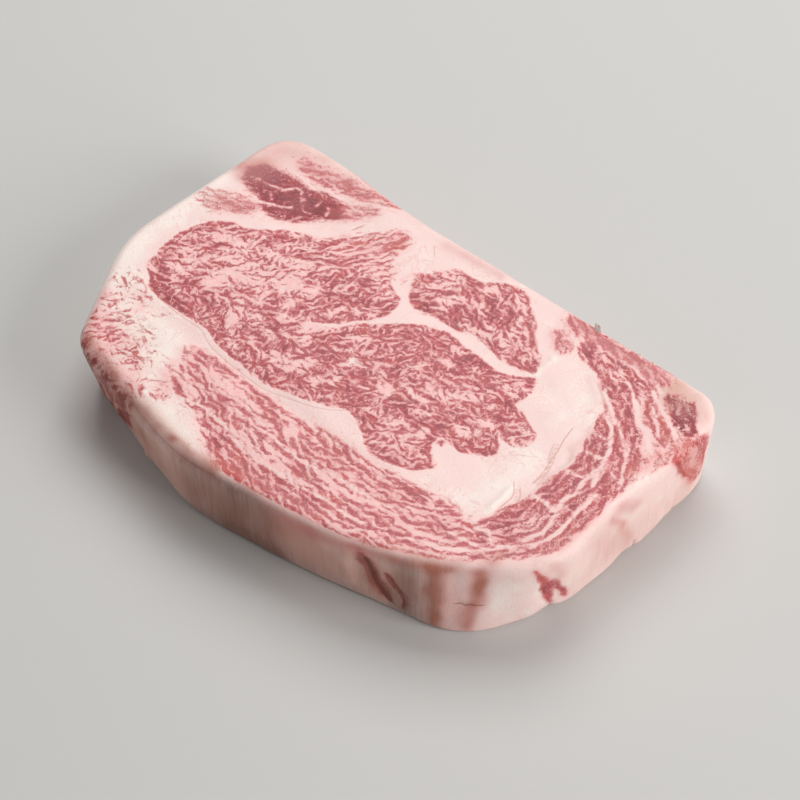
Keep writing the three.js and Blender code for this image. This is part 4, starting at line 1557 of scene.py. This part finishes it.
class Signal:
    """A socket of a material on which ordinary arithmetic adds Math nodes."""

    def __init__(self, recipe: "Recipe", socket: bpy.types.NodeSocket) -> None:
        """Args: recipe: the material it belongs to. socket: the output it stands for."""
        self.recipe = recipe
        self.socket = socket

    def _math(self, operation: str, a: "Signal | float", b: "Signal | float" = 0.0) -> "Signal":
        """One Math node on two values."""
        return self.recipe.node("ShaderNodeMath", {"operation": operation}, {0: a, 1: b})

    def __add__(self, other: "Signal | float") -> "Signal":
        """Sum."""
        return self._math("ADD", self, other)

    __radd__ = __add__

    def __sub__(self, other: "Signal | float") -> "Signal":
        """Difference."""
        return self._math("SUBTRACT", self, other)

    def __rsub__(self, other: float) -> "Signal":
        """Difference from a number."""
        return self._math("SUBTRACT", other, self)

    def __mul__(self, other: "Signal | float") -> "Signal":
        """Product."""
        return self._math("MULTIPLY", self, other)

    __rmul__ = __mul__

    def __abs__(self) -> "Signal":
        """Size without its sign."""
        return self._math("ABSOLUTE", self)

    def least(self, other: "Signal | float") -> "Signal":
        """The smaller of two."""
        return self._math("MINIMUM", self, other)

    def most(self, other: "Signal | float") -> "Signal":
        """The larger of two."""
        return self._math("MAXIMUM", self, other)

    def step(self, low: float, high: float) -> "Signal":
        """A smooth step from 0 at low to 1 at high, which may be the lower number."""
        ends = {1: low, 2: high, 3: 0.0, 4: 1.0} if low < high else {1: high, 2: low, 3: 1.0, 4: 0.0}
        smooth = {"interpolation_type": "SMOOTHSTEP"}
        return self.recipe.node("ShaderNodeMapRange", smooth, {0: self, **ends})


def srgb(red: int, green: int, blue: int) -> Colour:
    """A colour given in display values as the linear one that a node takes."""
    shown = (red / 255, green / 255, blue / 255)
    linear = [c / 12.92 if c <= 0.04045 else ((c + 0.055) / 1.055) ** 2.4 for c in shown]
    return (*linear, 1.0)


@dataclass(frozen=True)
class Grit:
    """A noise of a finish: lumps to the metre along each axis, octaves, roughness, and bend in lumps."""

    rate: Triple = (1.0, 1.0, 1.0)
    detail: float = 2.0
    rough: float = 0.5
    curl: float = 0.0


class Recipe:
    """A material's node tree, with one method that adds any node."""

    def __init__(self, name: str) -> None:
        """Args: name: the material's name."""
        self.material = bpy.data.materials.new(name)
        self.material.use_nodes = True
        self.tree = self.material.node_tree
        self.tree.nodes.clear()

    def node(self, kind: str, settings: dict, sockets: dict, output: int = 0) -> Signal:
        """Adds a node.

        Args:
            kind: The node's type.
            settings: Its settings, which are set first, with a ramp's colours under "stops".
            sockets: Values or signals for its inputs, by name or place.
            output: Which output is wanted.

        Returns:
            That output.
        """
        made = self.tree.nodes.new(kind)
        for name, value in settings.items():
            if name == "stops":
                self._stops(made.color_ramp, value)
            else:
                setattr(made, name, value)
        for key, value in sockets.items():
            if isinstance(value, Signal):
                self.tree.links.new(value.socket, made.inputs[key])
            else:
                made.inputs[key].default_value = value
        return Signal(self, made.outputs[output])

    @staticmethod
    def _stops(ramp: bpy.types.ColorRamp, stops: tuple) -> None:
        """Sets a ramp's places and colours."""
        while len(ramp.elements) < len(stops):
            ramp.elements.new(1.0)
        for element, (place, colour) in zip(ramp.elements, stops):
            element.position = place
            element.color = colour

    def field(self, name: str) -> Signal:
        """One of the piece's own fields."""
        return self.node("ShaderNodeAttribute", {"attribute_name": name}, {}, 2)

    def direction(self, name: str) -> Signal:
        """One of the piece's own fields of three numbers."""
        return self.node("ShaderNodeAttribute", {"attribute_name": name}, {}, 1)

    def place(self) -> Signal:
        """The piece's own coordinates, in metres."""
        return self.node("ShaderNodeTexCoord", {}, {}, 3)

    def stretched(self, scale: Triple) -> Signal:
        """The piece's own coordinates times a scale for each axis."""
        return self.node("ShaderNodeVectorMath", {"operation": "MULTIPLY"}, {0: self.place(), 1: scale})

    def noise(self, grit: Grit) -> Signal:
        """Noise about nought, from about -0.5 to 0.5, over the piece's own coordinates."""
        return self.noise_at(self.stretched(grit.rate), grit)

    def noise_at(self, place: Signal, grit: Grit) -> Signal:
        """Noise about nought at a place that is already stretched."""
        sockets = {"Vector": place, "Scale": 1.0, "Detail": grit.detail}
        sockets |= {"Roughness": grit.rough, "Distortion": grit.curl}
        return self.node("ShaderNodeTexNoise", {"noise_dimensions": "3D"}, sockets) - 0.5

    def mix(self, amount: "Signal | float", first: object, second: object) -> Signal:
        """The first colour where the amount is 0 and the second where it is 1."""
        return self.node("ShaderNodeMix", {"data_type": "RGBA"}, {0: amount, 6: first, 7: second}, 2)

    def finish(self, surface: Signal) -> bpy.types.Material:
        """Joins the surface to the output and returns the material."""
        output = self.tree.nodes.new("ShaderNodeOutputMaterial")
        self.tree.links.new(surface.socket, output.inputs["Surface"])
        return self.material


@dataclass(frozen=True)
class Cues:
    """The signals that the parts of the beef's finish share."""

    limit: Signal
    broad: Signal
    fine: Signal
    upright: Signal
    side: Signal
    curls: Signal


@dataclass(frozen=True)
class BeefFinish:
    """Marbled beef: fat and lean by the piece's fields, moist, finely fibrous and softly glowing."""

    fat_rose: Colour = srgb(253, 197, 193)
    fat_plain: Colour = srgb(252, 219, 213)
    fat_cream: Colour = srgb(255, 237, 228)
    fat_dull: Colour = srgb(222, 174, 158)
    fat_flesh: Colour = srgb(234, 160, 158)
    vein: Colour = srgb(232, 150, 146)
    bright: Colour = srgb(206, 76, 78)
    dusky: Colour = srgb(150, 92, 100)
    speck: Colour = srgb(150, 70, 68)
    wash: Colour = srgb(217, 146, 141)
    deep_wash: Colour = srgb(176, 102, 106)
    scarlet: Colour = srgb(205, 88, 78)
    stain: Colour = srgb(180, 106, 84)
    # The dark brown of the painted shade.
    painted_shade_brown: Colour = srgb(132, 92, 80)
    line: Colour = srgb(190, 104, 78)
    # Dark red of the wall's lines: partly the lean in the slits, partly painted shade in the slits, the
    # crease and the gaps.
    slit: Colour = srgb(104, 30, 24)
    depths: tuple[float, ...] = (0.05, 0.28, 0.5, 0.78, 1.0)
    pale: tuple[Colour, ...] = (
        srgb(240, 200, 192), srgb(224, 170, 162), srgb(202, 136, 129), srgb(180, 106, 100),
        srgb(156, 80, 76),
    )
    rose: tuple[Colour, ...] = (
        srgb(243, 178, 175), srgb(224, 136, 135), srgb(200, 98, 101), srgb(176, 70, 76),
        srgb(150, 50, 59),
    )
    maroon: tuple[Colour, ...] = (
        srgb(222, 134, 135), srgb(192, 83, 88), srgb(163, 51, 60), srgb(140, 29, 41), srgb(114, 15, 28),
    )
    fine: Grit = Grit((1500, 1500, 1500), 2.0, 0.6)
    finest: Grit = Grit((3600, 3600, 3600), 1.0)
    broad: Grit = Grit((190, 190, 190))
    wide: Grit = Grit((75, 75, 75), 3.0, 0.6)
    upright: Grit = Grit((900, 900, 45), 2.0, 0.55)
    folds: Grit = Grit((260, 260, 20), 1.0)
    clots: Grit = Grit((480, 480, 330), 3.0, 0.6, 0.8)
    curls: Grit = Grit((430, 430, 430), 1.5, 0.5, 1.7)
    blotch: Grit = Grit((420, 420, 420), 2.5, 0.6)
    veins: Grit = Grit((115, 115, 115), 3.0, 0.6, 1.4)
    patches: Grit = Grit((230, 230, 230), 3.0, 0.75)
    wobbles: Grit = Grit(detail=1.3)
    clot_gain: float = 5.0
    fleck_period: float = 0.0029
    fleck_gain: float = 1.4
    even_say: float = 0.41
    crest_leans: tuple[float, ...] = (0.9, -0.7, 0.8, -0.9, 0.7, -0.8)
    wobble_rate: float = 380.0
    wobble_length: float = 1.4
    wobble: float = 10.0
    relief: float = 0.0004
    pale_line: Span = (0.05, 0.005)
    dark_line: Span = (0.045, 0.005)
    dark_apart: float = 0.1
    pale_say: float = 1.7
    dark_say: float = 1.5
    lean_say: float = 0.62
    lean_edge: Span = (-0.62, 0.42)
    depth_say: float = 0.46
    depth_base: float = 0.32
    rose_tone: Span = (0.1, 0.42)
    maroon_tone: Span = (0.6, 1.0)
    bright_patch: Span = (0.0, 0.2)
    dusky_patch: Span = (-0.03, -0.22)
    creamy: Span = (0.0, 0.9)
    dried: Span = (0.0, 1.1)
    vein_line: Span = (0.035, 0.0)
    hair_line: Span = (1.0, 0.25)
    most_cover: float = 0.9
    bump: float = 0.7
    refraction: float = 1.42
    inner_glow: float = 0.1
    glow_depth: float = 0.001
    glow_spread: Triple = (1.0, 0.42, 0.32)
    moisture: float = 0.06
    moisture_rough: float = 0.3

    def material(self) -> bpy.types.Material:
        """Builds the material.

        The lean amount is the piece's field plus the flecks, and no more than the distance to the nearest
        border. Colour runs from fat over a pink edge to lean and to its deep middle, and then takes
        flush, painted shade, stains and the fine lines; on the wall the lines' darkness is partly painted
        shade.

        Returns:
            The material.
        """
        r = Recipe("marbled_beef")
        fine = r.noise(self.fine)
        finest = r.noise(self.finest)
        broad = r.noise(self.broad)
        side = r.field("side")
        upright = r.noise(self.upright)
        folds = r.noise(self.folds)
        limit = r.field("limit")
        clots = r.noise(self.clots) * self.clot_gain
        flecks = (self._flecks(r) * (1.0 - side) + clots * side) * (self.fleck_gain * FLECK_SAY)
        curls = r.noise(self.curls)
        pale_thread = abs(curls).step(*self.pale_line)
        dark_thread = abs(curls + self.dark_apart).step(*self.dark_line)
        threads = (dark_thread * self.dark_say - pale_thread * self.pale_say) * r.field("threads")
        inner = (r.field("lean") + flecks * r.field("bold") + threads + fine * 0.7) * self.lean_say
        lean = inner.least(limit + fine * 0.8 + flecks * r.field("bold") * 0.3)
        amount = lean.step(*self.lean_edge)
        deep = (lean + broad * 0.7 + fine * 2.0) * self.depth_say + self.depth_base
        tone = r.field("tone") + broad * 0.3
        fat = self._fat(r, Cues(limit, broad, fine, upright, side, curls))
        colour = r.mix(amount, fat, self._lean(r, tone, deep))
        washed = r.mix(tone.step(*self.maroon_tone), self.wash, self.deep_wash)
        colour = r.mix(r.field("wash") * (0.8 + broad * 0.8), colour, washed)
        colour = r.mix((finest * 0.5 + fine * 0.4).most(0.0) * (0.35 + amount), colour, self.speck)
        flush = r.field("flush")
        colour = r.mix(flush * (amount * 0.5 + side * 0.36 + 0.16), colour, self.scarlet)
        blotch = r.noise(self.blotch)
        streaks = side * (upright * (r.field("dull") * 0.55 + 0.16) + folds * 0.15 + blotch * 0.3)
        # Painted shade: mixes the dark brown in where the painted shade field says.
        colour = r.mix((r.field("shade") * (0.98 + upright * 0.7)).least(self.most_cover), colour, self.painted_shade_brown)
        soaked = r.field("stain") * (0.8 + streaks * 0.7) + streaks.most(0.0) * 0.16
        colour = r.mix(soaked.most(0.0).least(self.most_cover), colour, self.stain)
        hair = r.field("hair_dark") * abs(r.field("hair")).step(*self.hair_line)
        # Fine lines: brown on the face; on the wall the slit colour, partly dark lean and partly painted
        # shade in slits, creases and gaps.
        colour = r.mix(hair, colour, r.mix(side, self.line, self.slit))
        rough = 0.5 - amount * 0.1 + fine * 0.16 + side * 0.06
        height = finest * 0.25 + fine * 0.5 - amount * 0.35 + streaks * 0.9 - hair * (side * 0.3 + 0.1)
        return r.finish(self._surface(r, colour, rough, height))

    def _surface(self, r: Recipe, colour: Signal, rough: Signal, height: Signal) -> Signal:
        """The moist, slightly glowing surface over a given colour, roughness and fine relief."""
        bump = {"Strength": self.bump, "Distance": self.relief, "Height": height}
        bumped = r.node("ShaderNodeBump", {}, bump)
        sockets = {
            "Base Color": colour,
            "Roughness": rough,
            "Normal": bumped,
            "IOR": self.refraction,
            "Subsurface Weight": self.inner_glow,
            "Subsurface Scale": self.glow_depth,
            "Subsurface Radius": self.glow_spread,
            "Coat Weight": self.moisture,
            "Coat Roughness": self.moisture_rough,
        }
        return r.node("ShaderNodeBsdfPrincipled", {}, sockets)

    def _flecks(self, r: Recipe) -> Signal:
        """The flecks: waves of one length whose crests run along the grain and wobble.

        Each of a few directions has a sine wave that runs across it, its phase pushed by a noise that is
        drawn out along it. It counts by how nearly the grain runs that way, twice the cosine of twice the
        angle between them, less one and never below nought, and all count alike where there is no grain.

        Args:
            r: The material's recipe.

        Returns:
            The sum of the waves.
        """
        grain = r.direction("grain")
        draw = r.node("ShaderNodeSeparateXYZ", {}, {0: grain}, 2)
        cell = 1.0 / self.wobble_rate
        crest = 2 * math.pi * cell / self.fleck_period
        drawn = None
        for k, crest_lean in enumerate(self.crest_leans):
            turn = math.pi * k / len(self.crest_leans)
            aim = (math.cos(2 * turn), math.sin(2 * turn), 0.0)
            nearness = r.node("ShaderNodeVectorMath", {"operation": "DOT_PRODUCT"}, {0: grain, 1: aim}, 1)
            weight = ((nearness * 2.0 - (1.0 + self.even_say)) * draw + self.even_say).most(0.0)
            sockets = {"Vector": r.place(), "Rotation": (0.0, 0.0, turn)}
            sockets["Scale"] = (cell * self.wobble_length, cell, cell)
            place = r.node("ShaderNodeMapping", {"vector_type": "TEXTURE"}, sockets)
            sockets = {0: place, 1: (0.0, crest, crest * crest_lean)}
            across = r.node("ShaderNodeVectorMath", {"operation": "DOT_PRODUCT"}, sockets, 1)
            wobble = r.noise_at(place, self.wobbles) * self.wobble
            part = weight * r.node("ShaderNodeMath", {"operation": "SINE"}, {0: across + wobble})
            drawn = part if drawn is None else drawn + part
        return drawn

    def _fat(self, r: Recipe, cues: Cues) -> Signal:
        """The fat's colour: rose in the muscles, plain, cream where thick and in painted highlights, dull
        where dried and in painted shade.
        """
        limit, broad, fine, curls = cues.limit, cues.broad, cues.fine, cues.curls
        wide = r.noise(self.wide)
        cream = r.field("cream") + broad * 0.9 + wide * 1.3 + fine * 0.5 - limit.step(-0.2, 1.0) * 0.2
        rosy = limit.step(-1.3, 0.8) * (0.8 + curls * 2.5).most(0.0).least(1.0)
        base = r.mix(rosy, self.fat_plain, self.fat_rose)
        base = r.mix(cream.step(*self.creamy), base, self.fat_cream)
        fleshy = (r.field("lean") + curls * 1.5).step(-0.5, 1.3) * limit.step(-0.2, 1.0)
        base = r.mix(fleshy * 0.62, base, self.fat_flesh)
        veins = abs(r.noise(self.veins)).step(*self.vein_line) * (wide + broad).step(-0.1, 0.25)
        base = r.mix(veins * (1.0 - cues.side) * 0.35, base, self.vein)
        dull = r.field("dull") + cues.upright * cues.side * 0.35 + fine * 0.2
        return r.mix(dull.step(*self.dried), base, self.fat_dull)

    def _lean(self, r: Recipe, tone: Signal, deep: Signal) -> Signal:
        """The lean's colour: three tones' ramps over its depth, with bright and dusky patches."""
        pale, rose, maroon = (
            r.node("ShaderNodeValToRGB", {"stops": tuple(zip(self.depths, colours))}, {0: deep})
            for colours in (self.pale, self.rose, self.maroon)
        )
        body = r.mix(tone.step(*self.rose_tone), pale, rose)
        patch = r.noise(self.patches)
        deepest = deep.least(1.0).most(0.0)
        body = r.mix(patch.step(*self.bright_patch) * deepest * 0.8, body, self.bright)
        body = r.mix(patch.step(*self.dusky_patch) * deepest * 0.6, body, self.dusky)
        return r.mix(tone.step(*self.maroon_tone), body, maroon)


@dataclass(frozen=True)
class ShredFinish:
    """A thin frayed bit of dried fat: pale, a little translucent and matt."""

    pale: Colour = srgb(252, 238, 230)
    brown: Colour = srgb(232, 192, 174)
    mottle: Grit = Grit((700, 700, 700))
    rough: float = 0.55
    bump: float = 0.5
    relief: float = 0.0002
    inner_glow: float = 0.15
    glow_depth: float = 0.0008

    def material(self) -> bpy.types.Material:
        """Builds the material: pale fat with brown mottles."""
        r = Recipe("frayed_fat")
        mottle = r.noise(self.mottle)
        colour = r.mix((mottle * 2.0 + 0.2).step(0.0, 0.8), self.pale, self.brown)
        bump = {"Strength": self.bump, "Distance": self.relief, "Height": mottle}
        bumped = r.node("ShaderNodeBump", {}, bump)
        sockets = {"Base Color": colour, "Roughness": self.rough, "Normal": bumped}
        sockets |= {"Subsurface Weight": self.inner_glow, "Subsurface Scale": self.glow_depth}
        return r.finish(r.node("ShaderNodeBsdfPrincipled", {}, sockets))


# --- Frayed bits at the edges


@dataclass(frozen=True)
class Shred:
    """A thin tag of fat: the path it follows in mm, and its half width and half thickness at its root."""

    path: tuple[Triple, ...]
    width: float
    thick: float
    flat: Triple = (1.0, 0.0, 0.0)


SHREDS = (
    Shred(((48.2, 61.2, 28.6), (48.2, 62.4, 30.2), (48.1, 62.9, 31.2), (47.8, 63.1, 32.0)), 1.6, 0.3),
    Shred(((47.4, 61.4, 29.0), (47.3, 62.4, 30.4), (47.0, 62.8, 31.4), (46.8, 62.9, 32.4)), 0.6, 0.25),
    Shred(((60.6, 61.8, 29.0), (60.8, 62.7, 29.9), (61.0, 63.0, 30.2)), 0.7, 0.2),
    Shred(((65.0, 62.0, 29.0), (65.2, 62.9, 29.8), (65.0, 63.3, 30.2)), 0.8, 0.2),
    Shred(((70.2, 62.0, 29.0), (70.4, 63.0, 29.7), (70.8, 63.4, 30.1)), 1.0, 0.25),
)


@dataclass
class EdgeShreds:
    """The frayed tags on the steak's edges, as one piece."""

    shreds: tuple[Shred, ...] = SHREDS
    rings: int = 14
    sides: int = 10
    pinch: float = 1.6
    ripple: float = 0.18
    ripples: float = 9.0
    ripple_shift: float = 7.0
    tip: float = 0.02

    def build(self) -> bpy.types.Object:
        """Carries a thin ellipse along each tag's path and closes its ends.

        Returns:
            The tags as one object.
        """
        points, faces = [], []
        for shred in self.shreds:
            start = sum(len(p) for p in points)
            tube, quads = self._tube(shred)
            points.append(tube)
            faces += (quads + start).tolist()
        mesh = bpy.data.meshes.new("frayed_edge")
        mesh.from_pydata((np.vstack(points) * MM).tolist(), [], faces)
        mesh.shade_smooth()
        return placed("frayed_edge", mesh)

    def _tube(self, shred: Shred) -> tuple[Array, Array]:
        """One tag: path(t) plus taper(t) times (width cos a across + thickness sin a through), closed."""
        path = np.asarray(shred.path, float)
        t = np.linspace(0, len(path) - 1, self.rings)
        line = np.stack([np.interp(t, np.arange(len(path)), path[:, k]) for k in range(3)], axis=1)
        line[1:-1] = (line[:-2] + 2 * line[1:-1] + line[2:]) / 4
        ahead = np.gradient(line, axis=0)
        ahead /= np.linalg.norm(ahead, axis=1, keepdims=True)
        through = np.cross(ahead, np.asarray(shred.flat))
        through /= np.linalg.norm(through, axis=1, keepdims=True)
        across = np.cross(through, ahead)
        k = np.linspace(0, 1, self.rings)
        wave = np.sin(self.ripples * k + shred.width * self.ripple_shift)
        taper = np.sqrt(np.clip(1 - k**self.pinch, 0, 1)) * (1 + self.ripple * wave)
        taper[-1] = self.tip
        turn = np.arange(self.sides) / self.sides * 2 * math.pi
        ring = np.cos(turn)[None, :, None] * across[:, None] * shred.width
        ring = ring + np.sin(turn)[None, :, None] * through[:, None] * shred.thick
        tube = line[:, None] + ring * taper[:, None, None]
        points = np.vstack([tube.reshape(-1, 3), line[:1], line[-1:]])
        index = np.arange(self.rings * self.sides).reshape(self.rings, self.sides)
        index = np.column_stack([index, index[:, 0]])
        quads = cell_corners(index)
        low = np.full(self.sides, self.rings * self.sides)
        first = np.stack([index[0, 1:], index[0, :-1], low, low], axis=1)
        last = np.stack([index[-1, :-1], index[-1, 1:], low + 1, low + 1], axis=1)
        return points, np.vstack([quads, first, last])


# --- Stage


@dataclass(frozen=True)
class Floor:
    """The plain pale floor that the steak lies on."""

    half: float = 3.0
    colour: Colour = srgb(206, 204, 201)
    rough: float = 0.7

    def build(self) -> bpy.types.Object:
        """Makes the floor, a flat square at height nought."""
        h = self.half
        mesh = bpy.data.meshes.new("floor")
        mesh.from_pydata([(-h, -h, 0), (h, -h, 0), (h, h, 0), (-h, h, 0)], [], [(0, 1, 2, 3)])
        floor = placed("floor", mesh)
        r = Recipe("pale_floor")
        sockets = {"Base Color": self.colour, "Roughness": self.rough}
        mesh.materials.append(r.finish(r.node("ShaderNodeBsdfPrincipled", {}, sockets)))
        return floor


@dataclass(frozen=True)
class SoftLight:
    """A square area light, at a place in metres, that faces the steak."""

    name: str
    place: Triple
    side: float
    watts: float

    def build(self) -> bpy.types.Object:
        """Makes the light."""
        data = bpy.data.lights.new(self.name, "AREA")
        data.shape = "SQUARE"
        data.size = self.side
        data.energy = self.watts
        light = placed(self.name, data)
        light.location = self.place
        light.rotation_euler = (-Vector(self.place)).to_track_quat("-Z", "Y").to_euler()
        return light


SKY_STRENGTH = 0.2
LIGHTS = (
    SoftLight("overhead", (-0.5, 0.7, 1.2), 1.0, 14.2),
    SoftLight("right_side", (1.3, 0.35, 0.7), 0.8, 14.6),
    SoftLight("front_fill", (0.3, -1.4, 0.9), 0.9, 1.8),
)


@dataclass(frozen=True)
class ViewCamera:
    """The main view: direction, distance and lens, and the point looked at, in metres and degrees."""

    azimuth: float = 42.0
    elevation: float = 50.0
    distance: float = 0.625
    target: Triple = (0.0107, 0.00633, 0.014)
    lens: float = 85.0
    sensor: float = 36.0
    nearest: float = 0.01

    def build(self) -> bpy.types.Object:
        """Makes the camera and gives it to the scene."""
        a, e = math.radians(self.azimuth), math.radians(self.elevation)
        back = Vector((math.sin(a) * math.cos(e), -math.cos(a) * math.cos(e), math.sin(e)))
        data = bpy.data.cameras.new("main_view")
        data.lens = self.lens
        data.sensor_width = self.sensor
        data.clip_start = self.nearest
        camera = placed("main_view", data)
        camera.location = Vector(self.target) + back * self.distance
        camera.rotation_euler = (-back).to_track_quat("-Z", "Y").to_euler()
        bpy.context.scene.camera = camera
        return camera


def set_world(strength: float) -> None:
    """Gives the scene an even pale sky and faithful colours."""
    world = bpy.data.worlds.new("soft_sky")
    world.use_nodes = True
    sky = world.node_tree.nodes["Background"]
    sky.inputs["Color"].default_value = (1.0, 1.0, 1.0, 1.0)
    sky.inputs["Strength"].default_value = strength
    bpy.context.scene.world = world
    bpy.context.scene.view_settings.view_transform = "Standard"
    bpy.context.scene.view_settings.look = "None"


def dress(piece: bpy.types.Object, material: bpy.types.Material) -> None:
    """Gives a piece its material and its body."""
    piece.data.materials.append(material)
    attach(piece, BODY)
    LOG.info("%s: %d points, %d faces", piece.name, len(piece.data.vertices), len(piece.data.polygons))


def main() -> None:
    """Builds the steak, its frayed edge, the stage, the lights and the camera, in that order."""
    logging.basicConfig(level=logging.INFO, format="%(name)s: %(message)s")
    steak = SteakSurface().build()
    dress(steak, BeefFinish().material())
    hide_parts(NODE)
    shreds = EdgeShreds().build()
    dress(shreds, ShredFinish().material())
    Floor().build()
    for light in LIGHTS:
        light.build()
    set_world(SKY_STRENGTH)
    ViewCamera().build()


if __name__ == "__main__":
    main()
